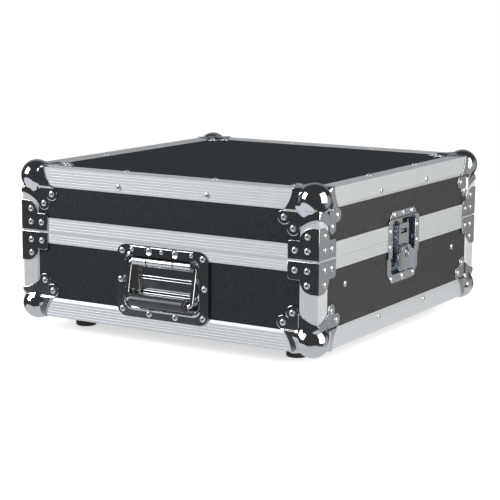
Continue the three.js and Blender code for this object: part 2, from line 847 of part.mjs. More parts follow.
function handleDish() {
  const flange = {
    left: -handleFlangeHalf,
    right: handleFlangeHalf,
    bottom: handleFlangeBottom,
    top: handleFlangeTop,
    round: handleFlangeRound,
  };
  const opening = { ...handleOpeningBox(0), round: handleOpeningRound };
  const slopes = { side: handleSideSlope, top: handleTopSlope, bottom: handleBottomSlope };
  return pressedDish(flange, opening, slopes, handleDishDepth, scoopShares);
}

addPiece('handle_dish', onFace(handleDish(), 'front'), chrome);

// Handle bracket: a strip on the flange, rolled round the bail in three barrels
const barrels = [
  [-barrelHalfLength, -middleBarrelLeft - barrelSlit / 2, endBarrelBore],
  [barrelSlit / 2 - middleBarrelLeft, middleBarrelRight - barrelSlit / 2, barrelBore],
  [middleBarrelRight + barrelSlit / 2, barrelHalfLength, endBarrelBore],
];

function handleBracket() {
  const low = overlayFace + fitGap;
  const high = low + bracketThickness;
  const webTop = hingeHeight + barrelRadius + barrelSlit;
  let bracket = solid(block(-bracketHalfWidth, bracketHalfWidth, webTop, bracketTop, low, high));
  for (const x of [-bracketScallopOffset, bracketScallopOffset]) {
    const scallop = disc(bracketScallopRadius, low - cutOverrun, high + cutOverrun);
    bracket = bracket.subtract(solid(scallop.translate(x, bracketScallopHeight, 0)));
  }
  const place = new THREE.Matrix4().makeTranslation(0, hingeHeight, -hingeInset).elements;
  for (const [from, to, bore] of barrels) {
    const web = solid(block(from, to, hingeHeight + barrelRadius / 2, webTop, low, high));
    const barrel = tubeAlongU(barrelRadius, 0, from, to).transform(place);
    const hole = tubeAlongU(bore, 0, from - cutOverrun, to + cutOverrun).transform(place);
    bracket = join(bracket, web, barrel).subtract(hole);
  }
  return shapeOf(bracket);
}

addPiece('handle_bracket', onFace(handleBracket(), 'front'), chrome);

// Bail: one round bar bent into a loop, with both ends in the bracket's barrels.
// It hangs from the hinge towards the grip, which stands out of the dish.
const bailDrop = hingeHeight - gripHeight;
const bailOut = gripProud + hingeInset;
const bailLength = Math.hypot(bailDrop, bailOut);
const bailTilt = Math.atan2(bailOut, bailDrop);

function bailPath() {
  const corners = [
    [-bailEndGap / 2, 0], [-bailArmOffset, 0], [-bailArmOffset, -bailLength],
    [bailArmOffset, -bailLength], [bailArmOffset, 0], [bailEndGap / 2, 0],
  ];
  const points = [corners[0]];
  for (let i = 1; i + 1 < corners.length; i++) {
    const [before, corner, after] = [corners[i - 1], corners[i], corners[i + 1]];
    const toward = (end) => {
      const length = Math.hypot(end[0] - corner[0], end[1] - corner[1]);
      return [(end[0] - corner[0]) / length, (end[1] - corner[1]) / length];
    };
    const [a, b] = [toward(before), toward(after)];
    const centre = [corner[0] + (a[0] + b[0]) * bailBend, corner[1] + (a[1] + b[1]) * bailBend];
    for (let step = 0; step <= bailBendSteps; step++) {
      const angle = step / bailBendSteps * Math.PI / 2;
      const x = centre[0] - b[0] * bailBend * Math.cos(angle) - a[0] * bailBend * Math.sin(angle);
      const y = centre[1] - b[1] * bailBend * Math.cos(angle) - a[1] * bailBend * Math.sin(angle);
      points.push([x, y]);
    }
  }
  points.push(corners[corners.length - 1]);
  return points;
}

// Tube of even thickness along a path that lies in one plane
function flatSweep(path, radius, count) {
  const rings = path.map(([x, y], i) => {
    const before = path[Math.max(i - 1, 0)];
    const after = path[Math.min(i + 1, path.length - 1)];
    const length = Math.hypot(after[0] - before[0], after[1] - before[1]);
    const side = [-(after[1] - before[1]) / length, (after[0] - before[0]) / length];
    return circleRing(radius, count).map(([a, b]) => [x + side[0] * a, y + side[1] * a, b]);
  });
  return loft(rings);
}

function fromHinge(geometry) {
  const tilt = new THREE.Matrix4().makeRotationX(-bailTilt);
  const place = new THREE.Matrix4().makeTranslation(0, hingeHeight, -hingeInset);
  return onFace(geometry.applyMatrix4(place.multiply(tilt)), 'front');
}

addPiece('handle_bail', fromHinge(flatSweep(bailPath(), bailRadius, bailFacets)), chrome);

function grip() {
  const round = gripEndRound;
  const profile = [
    [gripBore, -gripHalfLength], [gripRadius - round, -gripHalfLength], [gripRadius, round - gripHalfLength],
    [gripRadius, gripHalfLength - round], [gripRadius - round, gripHalfLength], [gripBore, gripHalfLength],
    [gripBore, -gripHalfLength],
  ];
  const points = profile.map(([radius, along]) => new THREE.Vector2(radius, along));
  const turn = new THREE.Matrix4().makeRotationZ(Math.PI / 2);
  const lathe = new THREE.LatheGeometry(points, roundFacets).applyMatrix4(turn);
  return shapeOf(solid(lathe.translate(0, -bailLength, 0)));
}

addPiece('handle_grip', fromHinge(grip()), rubber);

// Torsion spring round the bail's bar, inside the middle barrel
function coilSpring() {
  const steps = springTurns * springSteps;
  const rings = [];
  for (let i = 0; i <= steps; i++) {
    const angle = i / springSteps * 2 * Math.PI;
    const x = (i / steps * 2 - 1) * springHalfLength;
    const ring = circleRing(springWireRadius, springFacets).map(([a, b]) => {
      const radius = springCoilRadius + b;
      return [x + a, radius * Math.cos(angle), radius * Math.sin(angle)];
    });
    rings.push(ring);
  }
  const middle = (middleBarrelRight - middleBarrelLeft) / 2;
  return loft(rings).translate(middle, hingeHeight, -hingeInset);
}

addPiece('handle_spring', onFace(coilSpring(), 'front'), steel);

// Latch dish
function latchDish() {
  const flange = {
    left: -latchFlangeWidth / 2,
    right: latchFlangeWidth / 2,
    bottom: latchFlangeBottom,
    top: latchFlangeTop,
    round: latchFlangeChamfer,
    isCut: true,
  };
  const opening = {
    left: -latchOpeningWidth / 2,
    right: latchOpeningWidth / 2,
    bottom: latchOpeningBottom,
    top: latchOpeningTop,
    round: latchOpeningRound,
  };
  const slopes = { side: latchDishSlope, top: latchDishSlope, bottom: latchDishSlope };
  return pressedDish(flange, opening, slopes, latchDishDepth, panShares);
}

function latchDishHalf(low, high) {
  const half = latchFlangeWidth;
  const reach = latchDishDepth + cutOverrun;
  return solid(latchDish()).intersect(solid(block(-half, half, low, high, -reach, reach)));
}

// Levels inside the latch dish, from its floor outwards
const dishFloor = overlayFace - latchDishDepth;
const plateBack = dishFloor + fitGap;
const plateFace = plateBack + latchPlateThickness;
const hookBack = plateFace + hookStandOff;
const hookFace = hookBack + hookDepth;
const hookInnerFace = hookFace - hookSheet;
const armBack = hookFace + armStandOff;
const armFace = armBack + armThickness;
const bossFace = armFace + bossHeight;
const pinLevel = armFace + fitGap;
const wingFace = pinLevel + wingKnuckleRadius;
const wingBack = wingFace - wingThickness;
const wingPinHeight = spindleHeight + wingPinOffset;
const camRadius = camThrow + spindleRadius;
const windowHalfWidth = camRadius + camThrow + camSideGap;
const windowHalfHeight = camRadius + camTopGap;

// Base half of the latch dish, with the channel that guides the hook riveted to its floor
function latchBase() {
  const half = latchPlateWidth / 2;
  const cheekIn = hookHalfWidth + hookGuideGap;
  const cheekOut = cheekIn + cheekThickness;
  const cheekTop = plateFace + cheekHeight;
  const section = [[-half, plateBack], [half, plateBack], [half, plateFace], [cheekOut, plateFace]];
  section.push([cheekOut, cheekTop], [cheekIn, cheekTop], [cheekIn, plateFace], [-cheekIn, plateFace]);
  section.push([-cheekIn, cheekTop], [-cheekOut, cheekTop], [-cheekOut, plateFace], [-half, plateFace]);
  const geometry = sheet(polygon(section), -latchPlateTop, -latchPlateBottom);
  const upright = new THREE.Matrix4().makeBasis(axisX, axisZ, minusY);
  const bore = disc(spindleRadius + spindleBoreGap, plateBack - cutOverrun, plateFace + cutOverrun);
  const plate = solid(geometry.applyMatrix4(upright));
  const channel = plate.subtract(solid(bore.translate(0, spindleHeight, 0)));
  const heads = [];
  const depth = plateFace - dishFloor + dishSheet / 2;
  for (const u of [plateRivetSide - half, half - plateRivetSide]) {
    for (const v of [latchPlateBottom + plateRivetInset, latchPlateTop - plateRivetInset]) {
      heads.push(rivet(u, v, plateFace, depth, plateRivetRadius, plateRivetTopRadius));
    }
  }
  const dish = latchDishHalf(latchFlangeBottom - cutOverrun, -seamGap / 2);
  return shapeOf(join(dish, channel, ...heads));
}

// Spindle: tail in the plate, eccentric disc inside the hook's window, arm with boss and wing pin
function spindle() {
  const tail = disc(spindleRadius, plateBack + fitGap / 2, armFace).translate(0, spindleHeight, 0);
  const camBack = plateFace + fitGap;
  const cam = disc(camRadius, camBack, hookFace + fitGap).translate(0, spindleHeight - camThrow, 0);
  const armEnd = wingPinHeight;
  const arm = block(-armHalfWidth, armHalfWidth, spindleHeight - armHalfWidth, armEnd, armBack, armFace);
  const boss = disc(bossRadius, armBack, bossFace).translate(0, spindleHeight, 0);
  const place = new THREE.Matrix4().makeTranslation(0, wingPinHeight, pinLevel).elements;
  const knuckle = tubeAlongU(wingKnuckleRadius, 0, -armHalfWidth, armHalfWidth).transform(place);
  const pin = tubeAlongU(wingPinRadius, 0, -wingKnuckleEnd, wingKnuckleEnd).transform(place);
  return shapeOf(join(solid(tail), solid(cam), solid(arm), solid(boss), knuckle, pin));
}

// Hook: a folded plate on two side flanges, with a window for the eccentric and a slot for the keeper
function hook() {
  const edge = [
    [-hookHalfWidth, hookBottom], [hookHalfWidth, hookBottom], [hookHalfWidth, hookTop - hookCorner],
    [hookHalfWidth - hookCorner, hookTop], [hookCorner - hookHalfWidth, hookTop],
    [-hookHalfWidth, hookTop - hookCorner],
  ];
  const shape = polygon(edge);
  const centre = spindleHeight - camThrow;
  shape.holes.push(rectangle(windowHalfWidth, centre - windowHalfHeight, centre + windowHalfHeight));
  shape.holes.push(rectangle(hookSlotHalfWidth, hookSlotBottom, hookSlotTop));
  const plate = solid(sheet(shape, hookInnerFace, hookFace));
  const inner = hookHalfWidth - hookSheet;
  const top = hookTop - hookCorner;
  const flanges = [[-hookHalfWidth, -inner], [inner, hookHalfWidth]].map(([from, to]) => {
    return solid(block(from, to, hookBottom, top, hookBack, hookFace - hookSheet / 2));
  });
  return shapeOf(join(plate, ...flanges));
}

function rectangle(half, low, high) {
  const points = [[-half, low], [-half, high], [half, high], [half, low]];
  return new THREE.Path(points.map(([a, b]) => new THREE.Vector2(a, b)));
}

// Wing: a plate that folds on the spindle's pin and turns over the dish's flange.
// Its edge below the pin, in shares of its half width and of its drop below the spindle
const wingEdgeShares = [[0.52, -0.18], [0.82, -0.07], [1, 0.15], [0.82, 0.82], [0.66, 1]];

function wing() {
  const right = [[wingTopHalfWidth, wingPinHeight]];
  for (const [across, down] of wingEdgeShares) {
    right.push([wingHalfWidth * across, spindleHeight - wingDrop * down]);
  }
  const left = right.map(([x, y]) => [-x, y]);
  const outline = [...left, ...right.reverse()];
  let plate = solid(sheet(polygon(outline), wingBack, wingFace));
  const hole = disc(bossRadius + wingHoleGap, wingBack - cutOverrun, wingFace + cutOverrun);
  const notchHalf = armHalfWidth + fitGap;
  const notchLow = wingPinHeight - wingKnuckleRadius - fitGap;
  const notchHigh = wingPinHeight + cutOverrun;
  const [behind, before] = [wingBack - cutOverrun, wingFace + cutOverrun];
  const notch = block(-notchHalf, notchHalf, notchLow, notchHigh, behind, before);
  plate = plate.subtract(solid(hole.translate(0, spindleHeight, 0))).subtract(solid(notch));
  const place = new THREE.Matrix4().makeTranslation(0, wingPinHeight, pinLevel).elements;
  for (const [from, to] of [[-wingKnuckleEnd, -notchHalf], [notchHalf, wingKnuckleEnd]]) {
    plate = plate.add(tubeAlongU(wingKnuckleRadius, 0, from, to).transform(place));
  }
  const bore = tubeAlongU(wingPinRadius + fitGap, 0, -wingHalfWidth, wingHalfWidth).transform(place);
  return shapeOf(plate.subtract(bore));
}

// Lid half of the latch dish, with the keeper riveted to its floor. Its rivets are flush under the hook.
function latchLid() {
  const low = plateBack;
  const face = low + keeperThickness;
  const plate = block(-keeperHalfWidth, keeperHalfWidth, keeperBottom, keeperTop, low, face);
  const lipFace = hookInnerFace - fitGap;
  const half = keeperLipHalfWidth;
  const lip = block(-half, half, keeperLipBottom, keeperLipTop, low, lipFace);
  const shanks = [-keeperLipHalfWidth, keeperLipHalfWidth].map((u) => {
    const shank = disc(plateRivetRadius, dishFloor - dishSheet / 2, face, rivetFacets);
    return solid(shank.translate(u, keeperRivetHeight, 0));
  });
  const dish = latchDishHalf(seamGap / 2, latchFlangeTop + cutOverrun);
  return shapeOf(join(dish, solid(plate), solid(lip), ...shanks));
}

for (const side of ['left', 'right']) {
  addPiece(`${side}_latch_dish`, onLatchFace(latchBase(), side), chrome);
  addPiece(`${side}_latch_spindle`, onLatchFace(spindle(), side), zinc);
  addPiece(`${side}_latch_hook`, onLatchFace(hook(), side), zinc);
  addPiece(`${side}_latch_wing`, onLatchFace(wing(), side), chrome);
  addPiece(`${side}_keeper_dish`, onLatchFace(latchLid(), side), chrome);
}

// Foam pad under the lid's top board
function lidFoam() {
  const x = caseWidth / 2 + boardBack - foamSideGap;
  const y = caseDepth / 2 + boardBack - foamSideGap;
  const top = topBoardBottom - fitGap;
  return block(-x, x, -y, y, top - foamThickness, top);
}

addPiece('lid_foam', lidFoam(), foam);

export default model;
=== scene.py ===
# Looks for a flight case with a lift-off lid, a recessed handle and two butterfly latches.
# Pieces are drawn in millimetres on a face of the case. A face's matrix brings them to metres.

import json
import math

import bmesh
import bpy
import numpy as np
from mathutils import Matrix, Vector

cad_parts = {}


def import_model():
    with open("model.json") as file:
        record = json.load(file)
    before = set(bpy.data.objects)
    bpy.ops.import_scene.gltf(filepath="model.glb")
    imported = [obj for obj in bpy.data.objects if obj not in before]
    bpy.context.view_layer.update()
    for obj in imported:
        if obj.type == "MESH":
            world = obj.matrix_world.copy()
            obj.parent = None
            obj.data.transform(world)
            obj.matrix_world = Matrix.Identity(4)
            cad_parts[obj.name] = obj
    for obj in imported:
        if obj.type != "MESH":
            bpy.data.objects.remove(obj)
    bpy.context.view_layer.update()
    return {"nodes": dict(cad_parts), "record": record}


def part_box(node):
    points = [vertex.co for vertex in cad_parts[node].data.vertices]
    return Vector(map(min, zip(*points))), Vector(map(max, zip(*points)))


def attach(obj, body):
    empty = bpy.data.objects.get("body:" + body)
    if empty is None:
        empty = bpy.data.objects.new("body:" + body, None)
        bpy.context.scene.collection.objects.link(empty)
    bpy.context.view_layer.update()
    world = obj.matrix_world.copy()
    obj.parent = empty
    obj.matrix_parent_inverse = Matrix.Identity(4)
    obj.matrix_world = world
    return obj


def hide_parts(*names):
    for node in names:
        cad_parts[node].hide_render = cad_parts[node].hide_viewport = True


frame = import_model()
nodes = frame["nodes"]

# Case, from the frame
MM = 0.001
BOARD_INSET = 1.8
bottom_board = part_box("base_bottom_board")
top_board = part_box("lid_top_board")
HALF_WIDTH = bottom_board[1].x / MM + BOARD_INSET
HALF_DEPTH = (bottom_board[1].y - bottom_board[0].y) / MM / 2 + BOARD_INSET
MIDDLE_Y = (bottom_board[1].y + bottom_board[0].y) / 2
UNDERSIDE = bottom_board[0].z - BOARD_INSET * MM
HEIGHT = (top_board[1].z - UNDERSIDE) / MM + BOARD_INSET
TONGUE_OVER_SEAM = 3.7
SEAM = (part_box("base_rim_front")[1].z - UNDERSIDE) / MM - TONGUE_OVER_SEAM

# Levels over the outer face of the angles
SHEET = 1.3
OVERLAY_BACK = 0.3
OVERLAY_FACE = OVERLAY_BACK + SHEET
LOBE_FACE = -0.2

# Corners. Blends are given by their two ends, or by the depths between which they run.
BALL_RADIUS = 24.4
BALL_INSET = 16
BALL_BLENDS = (0.9, 6)
BLEND_WIDENS = (14, 24)
NOSE_CUT = 22
EDGE_ROUNDS = (19, 2)
EDGE_NARROWS = (25, 38)
EDGE_REACH = 43
CORNER_RIVETS = [(56, 41), (41, 56)]
LOBE_RADIUS = 11
ANGLE_LEG = 30
PLATE_STEPS = [(29.9, 31.2), (29.9, 31.2), (29.4, 32.2)]

# Braces
BRACE_ARM = 50
BRACE_RISE = 28
BRACE_WIDTH = 30.8
BRACE_REACH = 47
BRACE_ROUND = 20
BRACE_TIP_ROUND = 5
BRACE_INNER_ROUND = 1
BRACE_SEAM_GAP = 1.4
BRACE_RIVETS = [(17, 14), (37, 14), (17, 34.5)]
SOFT_EDGE = [(0, 0.6), (0.04, 0.3), (0.12, 0.16), (0.34, 0.04), (0.5, 0)]

# Rivets. A profile is pairs of radius and height.
RIVET_PROFILE = [(4.7, -0.3), (4.7, 0.3), (4.5, 0.8), (3.9, 1.35), (3.0, 1.75), (2.1, 1.95),
                 (1.7, 1.85), (1.5, 1.4), (1.4, 0.3), (0, 0.3)]
RIVET_PIT = 7
RIVET_SIDES = 20
SMALL_RIVET_SCALE = 0.68
LEG_RIVET_OFFSET = 78
LEG_RIVET_INSET = 21
RAIL_RIVET = (185, 88.7)


# Materials
def new_material(name, color, metallic, roughness):
    material = bpy.data.materials.new(name)
    material.use_nodes = True
    tree = material.node_tree
    shader = tree.nodes["Principled BSDF"]
    shader.inputs["Base Color"].default_value = (*color, 1)
    shader.inputs["Metallic"].default_value = metallic
    shader.inputs["Roughness"].default_value = roughness
    return material, tree, shader


def add(tree, kind):
    return tree.nodes.new("ShaderNode" + kind)


def noise(tree, scale, detail):
    texture = add(tree, "TexNoise")
    texture.inputs["Scale"].default_value = scale
    texture.inputs["Detail"].default_value = detail
    tree.links.new(add(tree, "TexCoord").outputs["Object"], texture.inputs["Vector"])
    return texture.outputs["Fac"]


def span(tree, source, low, high, from_value, to_value, kind="SMOOTHSTEP"):
    node = add(tree, "MapRange")
    node.interpolation_type = kind
    node.inputs["From Min"].default_value = low
    node.inputs["From Max"].default_value = high
    node.inputs["To Min"].default_value = from_value
    node.inputs["To Max"].default_value = to_value
    tree.links.new(source, node.inputs["Value"])
    return node.outputs["Result"]


def roughen(tree, shader, source, low, high):
    tree.links.new(span(tree, source, 0, 1, low, high, "LINEAR"), shader.inputs["Roughness"])


def shade(tree, shader, source, dark, light):
    node = add(tree, "Mix")
    node.data_type = "RGBA"
    node.inputs["A"].default_value = (*dark, 1)
    node.inputs["B"].default_value = (*light, 1)
    tree.links.new(source, node.inputs["Factor"])
    tree.links.new(node.outputs["Result"], shader.inputs["Base Color"])


def bump(tree, shader, source, distance, strength):
    node = add(tree, "Bump")
    node.inputs["Distance"].default_value = distance
    node.inputs["Strength"].default_value = strength
    tree.links.new(source, node.inputs["Height"])
    tree.links.new(node.outputs["Normal"], shader.inputs["Normal"])


def laminate(name, dark, light):
    material, tree, shader = new_material(name, light, 0, 0.5)
    shader.inputs["Specular IOR Level"].default_value = 0.36
    grain = noise(tree, 900, 2)
    shade(tree, shader, noise(tree, 210, 6), dark, light)
    roughen(tree, shader, grain, 0.56, 0.7)
    bump(tree, shader, grain, 0.0002, 0.6)
    return material


def extrusion():
    material, tree, shader = new_material("extrusion", (0.66, 0.68, 0.7), 0.45, 0.42)
    streaks = noise(tree, 300, 4)
    roughen(tree, shader, streaks, 0.38, 0.48)
    shade(tree, shader, streaks, (0.62, 0.645, 0.66), (0.7, 0.72, 0.735))
    return material


def chrome(name, roughness=0.07, color=(0.74, 0.75, 0.76)):
    material, tree, shader = new_material(name, color, 1, roughness)
    roughen(tree, shader, noise(tree, 40, 4), roughness * 0.6, roughness * 1.5)
    return material


def rivet_steel():
    material, tree, shader = new_material("rivet_steel", (0.86, 0.87, 0.88), 0.85, 0.3)
    roughen(tree, shader, noise(tree, 500, 2), 0.26, 0.36)
    return material


def zinc():
    material, tree, shader = new_material("zinc", (0.62, 0.63, 0.64), 1, 0.28)
    spangle = noise(tree, 220, 3)
    roughen(tree, shader, spangle, 0.2, 0.38)
    shade(tree, shader, spangle, (0.55, 0.56, 0.58), (0.7, 0.71, 0.72))
    return material


def rubber(name, color, roughness):
    material, tree, shader = new_material(name, color, 0, roughness)
    grain = noise(tree, 1500, 2)
    roughen(tree, shader, grain, roughness - 0.06, roughness + 0.08)
    bump(tree, shader, grain, 0.0001, 0.5)
    return material


def foam_material():
    material, tree, shader = new_material("foam", (0.03, 0.031, 0.033), 0, 0.95)
    cells = noise(tree, 1200, 4)
    shade(tree, shader, cells, (0.018, 0.019, 0.02), (0.05, 0.052, 0.055))
    bump(tree, shader, cells, 0.0006, 0.9)
    return material


LAMINATE = laminate("laminate", (0.001, 0.003, 0.005), (0.020, 0.026, 0.031))
# A lighter, browner copy of the laminate for the left and right boards: painted light, for the brighter look
# of the sides.
LIT_SIDE_LAMINATE = laminate("painted_light_side_laminate", (0.018, 0.018, 0.018), (0.064, 0.063, 0.062))
EXTRUSION = extrusion()
CHROME = chrome("corner_chrome")
DISH_CHROME = chrome("dish_chrome", 0.055)
PAN_CHROME = chrome("pan_chrome", 0.095)
SOFT_CHROME = chrome("soft_chrome", 0.2)
LATCH_CHROME = chrome("latch_chrome", 0.13, (0.86, 0.87, 0.88))
# A dimmer copy of the chrome for the faces deep in the latch dish and its channel: painted shade.
PAINTED_SHADE_CHROME = chrome("painted_shade_chrome", 0.16, (0.42, 0.47, 0.52))
RIVET = rivet_steel()
# Near-black for the rivets' pits, the gaps between the barrels and the latch joggles' risers: painted shade.
SHADE_BLACK = rubber("painted_shade_black", (0.02, 0.02, 0.022), 0.6)
ZINC = zinc()
FOOT_RUBBER = rubber("foot_rubber", (0.012, 0.012, 0.013), 0.6)
GRIP_RUBBER = rubber("grip_rubber", (0.04, 0.042, 0.045), 0.24)
FOAM = foam_material()


# Faces of the case: u runs to the right and v up as one looks at the face, and the third axis points out
def from_axes(axes, place):
    return Matrix([(*[axis[i] for axis in axes], place[i]) for i in range(3)] + [(0, 0, 0, 1)])


def face_frame(x, y, z, u, v):
    u, v = Vector(u), Vector(v)
    origin = (x * MM, MIDDLE_Y + y * MM, UNDERSIDE + z * MM)
    return from_axes([axis * MM for axis in (u, v, u.cross(v))], origin)


X, Y, Z = (1, 0, 0), (0, 1, 0), (0, 0, 1)
FACES = {
    "front": face_frame(0, -HALF_DEPTH, 0, X, Z),
    "right": face_frame(HALF_WIDTH, 0, 0, Y, Z),
    "back": face_frame(0, HALF_DEPTH, 0, (-1, 0, 0), Z),
    "left": face_frame(-HALF_WIDTH, 0, 0, (0, -1, 0), Z),
    "top": face_frame(0, 0, HEIGHT, X, Y),
    "bottom": face_frame(0, 0, 0, X, (0, -1, 0)),
}
FRONT = FACES["front"]
SIDES = ["front", "right", "back", "left"]
CASE = face_frame(0, 0, 0, X, Y)


def half_sizes(side):
    """Half the width of a side, and its distance from the middle."""
    return (HALF_WIDTH, HALF_DEPTH) if side in ("front", "back") else (HALF_DEPTH, HALF_WIDTH)


# Meshes
MITRE_LIMIT = 0.4
ACROSS = Matrix.Rotation(math.pi / 2, 4, "Y")


def add_object(name, data):
    obj = bpy.data.objects.new(name, data)
    bpy.context.scene.collection.objects.link(obj)
    return obj


def add_mesh(name, bm, material):
    mesh = bpy.data.meshes.new(name)
    bm.to_mesh(mesh)
    bm.free()
    mesh.materials.append(material)
    return add_object(name, mesh)


def piece(name, bm, material, body, replaced=(), sharp=40, bevel=0.0):
    bmesh.ops.recalc_face_normals(bm, faces=bm.faces)
    obj = add_mesh(name, bm, material)
    obj.data.polygons.foreach_set("use_smooth", [True] * len(obj.data.polygons))
    obj.data.set_sharp_from_angle(angle=math.radians(sharp))
    if bevel:
        round_edges(obj, bevel, sharp)
    weigh_normals(obj)
    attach(obj, body)
    if replaced:
        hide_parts(*replaced)
    return obj


def round_edges(obj, width, angle):
    edges = obj.modifiers.new("edges", "BEVEL")
    edges.width = width
    edges.segments = 2
    edges.limit_method = "ANGLE"
    edges.angle_limit = math.radians(angle)


def weigh_normals(obj):
    weighted = obj.modifiers.new("weighted", "WEIGHTED_NORMAL")
    weighted.keep_sharp = True


def loft(bm, rings, matrix, cap=True):
    rows = [[bm.verts.new(matrix @ Vector(p)) for p in ring] for ring in rings]
    count = len(rings[0])
    for low, high in zip(rows, rows[1:]):
        for i in range(count):
            j = (i + 1) % count
            bm.faces.new((low[i], low[j], high[j], high[i]))
    if cap:
        bm.faces.new(rows[0][::-1])
        bm.faces.new(rows[-1])
    return bm


def lathe(bm, profile, matrix, segments):
    rings = []
    for radius, height in profile:
        ring = []
        for i in range(segments):
            angle = 2 * math.pi * i / segments
            ring.append((radius * math.cos(angle), radius * math.sin(angle), height))
        rings.append(ring)
    start = len(bm.verts)
    loft(bm, rings, matrix, cap=False)
    bm.verts.ensure_lookup_table()
    bmesh.ops.remove_doubles(bm, verts=bm.verts[start:], dist=1e-7)
    return bm


def offset(outline, by):
    """Outline moved inwards by a distance. It runs anticlockwise."""
    points = []
    count = len(outline)
    for i in range(count):
        here = Vector(outline[i])
        before = (here - Vector(outline[i - 1])).normalized()
        after = (Vector(outline[(i + 1) % count]) - here).normalized()
        inwards = Vector((-before.y - after.y, before.x + after.x)).normalized()
        share = max(abs(inwards.dot(Vector((-after.y, after.x)))), MITRE_LIMIT)
        points.append(tuple(here + inwards * (by / share)))
    return points


def plate(bm, outline, low, high, edge, matrix):
    """Sheet whose outer edge follows pairs of inset and drop."""
    rings = [[(x, y, low) for x, y in outline]]
    for inwards, down in edge:
        rings.append([(x, y, high - down) for x, y in offset(outline, inwards)])
    return loft(bm, rings, matrix)


def sleeve(bore, radius, start, end, edge):
    """Profile of a sleeve whose outer edges follow pairs of inset and distance."""
    profile = [(bore, start)] + [(radius - inwards, start + along) for inwards, along in edge]
    profile += [(radius - inwards, end - along) for inwards, along in edge[::-1]]
    return profile + [(bore, end), (bore, start)]


def bisect(bm, place, normal, **more):
    everything = bm.verts[:] + bm.edges[:] + bm.faces[:]
    return bmesh.ops.bisect_plane(bm, geom=everything, plane_co=place, plane_no=normal, **more)


def rounded(corners, steps):
    """Outline with each corner (x, y, radius) rounded."""
    points = []
    count = len(corners)
    for i, (x, y, radius) in enumerate(corners):
        corner = Vector((x, y))
        if radius <= 0:
            points.append((x, y))
            continue
        a = (Vector(corners[i - 1][:2]) - corner).normalized()
        b = (Vector(corners[(i + 1) % count][:2]) - corner).normalized()
        half = a.angle(b) / 2
        centre = corner + (a + b).normalized() * (radius / math.sin(half))
        start = corner + a * (radius / math.tan(half)) - centre
        end = corner + b * (radius / math.tan(half)) - centre
        turn = start.angle_signed(end)
        for k in range(steps + 1):
            angle = -turn * k / steps
            c, s = math.cos(angle), math.sin(angle)
            points.append((centre.x + c * start.x - s * start.y, centre.y + s * start.x + c * start.y))
    return points


# Extrusions
RIB_PITCH = 4.2
RIB_DEPTH = 0.26
FLAT_RIB_DEPTH = 0.6
GROOVE_HALF = 0.45
WALL = 1.5
HEEL_BEVEL = (0.35, 0.1)


def ribs(length, depth=RIB_DEPTH):
    """Pairs of depth and distance along a leg: the grooves between its ribs."""
    count = max(1, round(length / RIB_PITCH))
    points = []
    for k in range(1, count):
        middle = k * length / count
        points += [(0, middle - GROOVE_HALF), (depth, middle), (0, middle + GROOVE_HALF)]
    return points


def angle_section(flat_depth=RIB_DEPTH):
    heel, toe = HEEL_BEVEL
    section = [(heel, toe)] + [(along, deep) for deep, along in ribs(ANGLE_LEG)]
    section += [(ANGLE_LEG, WALL), (WALL, WALL), (WALL, ANGLE_LEG)]
    return section + ribs(ANGLE_LEG, flat_depth)[::-1] + [(toe, heel)]


def bar(section, first, second, place, length):
    first, second = Vector(first), Vector(second)
    along = first.cross(second)
    rings = []
    for end in (-length / 2, length / 2):
        rings.append([Vector(place) + first * a + second * b + along * end for a, b in section])
    return loft(bmesh.new(), rings, CASE)


def extruded(name, bm, part, replaced=()):
    piece(name, bm, EXTRUSION, part, replaced, sharp=20)


SETBACK = 36


def edge_angles(part, level, up):
    for side in SIDES:
        half, away = half_sizes(side)
        out = FACES[side].col[2].xyz.normalized()
        place = out * away + Vector((0, 0, level))
        bm = bar(angle_section(FLAT_RIB_DEPTH), (0, 0, up), -out, place, 2 * (half - SETBACK))
        name = f"{part}_{side}_angle"
        extruded(name + "_extrusion", bm, part, [name])


BASE_RIM_LEG = 17
LID_RIM_LEG = 22
RIM_DEPTH = 10.6
RIM_INNER = (12, 14)
TONGUE = (2.6, 1.8, 4.0)
TONGUE_SEAT = 5.45
GROOVE = (0.5, 0.6)
RIM_HALF_GAP = 0.14


def base_rim_section():
    width, tip, height = TONGUE
    inner = RIM_DEPTH - WALL
    section = [(0, 0)] + [(deep, -along) for deep, along in ribs(BASE_RIM_LEG)]
    section += [(0, -BASE_RIM_LEG), (WALL, -BASE_RIM_LEG), (WALL, -WALL), (inner, -WALL)]
    section += [(inner, -RIM_INNER[0]), (RIM_DEPTH, -RIM_INNER[0]), (RIM_DEPTH, 0)]
    for across, up in [(width, 0), (tip, height), (-tip, height), (-width, 0)]:
        section.append((TONGUE_SEAT + across / 2, up))
    return section


def lid_rim_section():
    width = TONGUE[0] + 2 * GROOVE[0]
    roof = TONGUE[2] + GROOVE[1]
    left, right = TONGUE_SEAT - width / 2, TONGUE_SEAT + width / 2
    web = roof + WALL
    inner = RIM_DEPTH - WALL
    section = [(0, 0), (left, 0), (left, roof), (right, roof), (right, 0), (RIM_DEPTH, 0)]
    section += [(RIM_DEPTH, RIM_INNER[1]), (inner, RIM_INNER[1]), (inner, web), (left - WALL, web)]
    section += [(left - WALL, WALL), (WALL, WALL), (WALL, LID_RIM_LEG), (0, LID_RIM_LEG)]
    return section + ribs(LID_RIM_LEG)[::-1]


def rim(part, end, section, level):
    """Half of a rim: along one side wall to a corner, across, and back along the other wall."""
    node = f"{part}_rim_{end}"
    low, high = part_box(node)
    out = -1 if end == "front" else 1
    notch = ((high.y if end == "front" else low.y) - MIDDLE_Y) / MM
    corner = out * HALF_DEPTH
    rings = []
    for sign, y, outward in [(-1, notch, 0), (-1, corner, out), (1, corner, out), (1, notch, 0)]:
        rings.append([(sign * (HALF_WIDTH - a), y - outward * a, level + b) for a, b in section])
    extruded(node + "_extrusion", loft(bmesh.new(), rings, CASE), part, [node])


# Corner braces, each a sheet bent round the vertical edge, over its upright
BEND_HALF = 1.1
BEND_REACH = BEND_HALF * math.pi / 4
BEND_CUTS = 4
UPRIGHT_GAP = 0.6


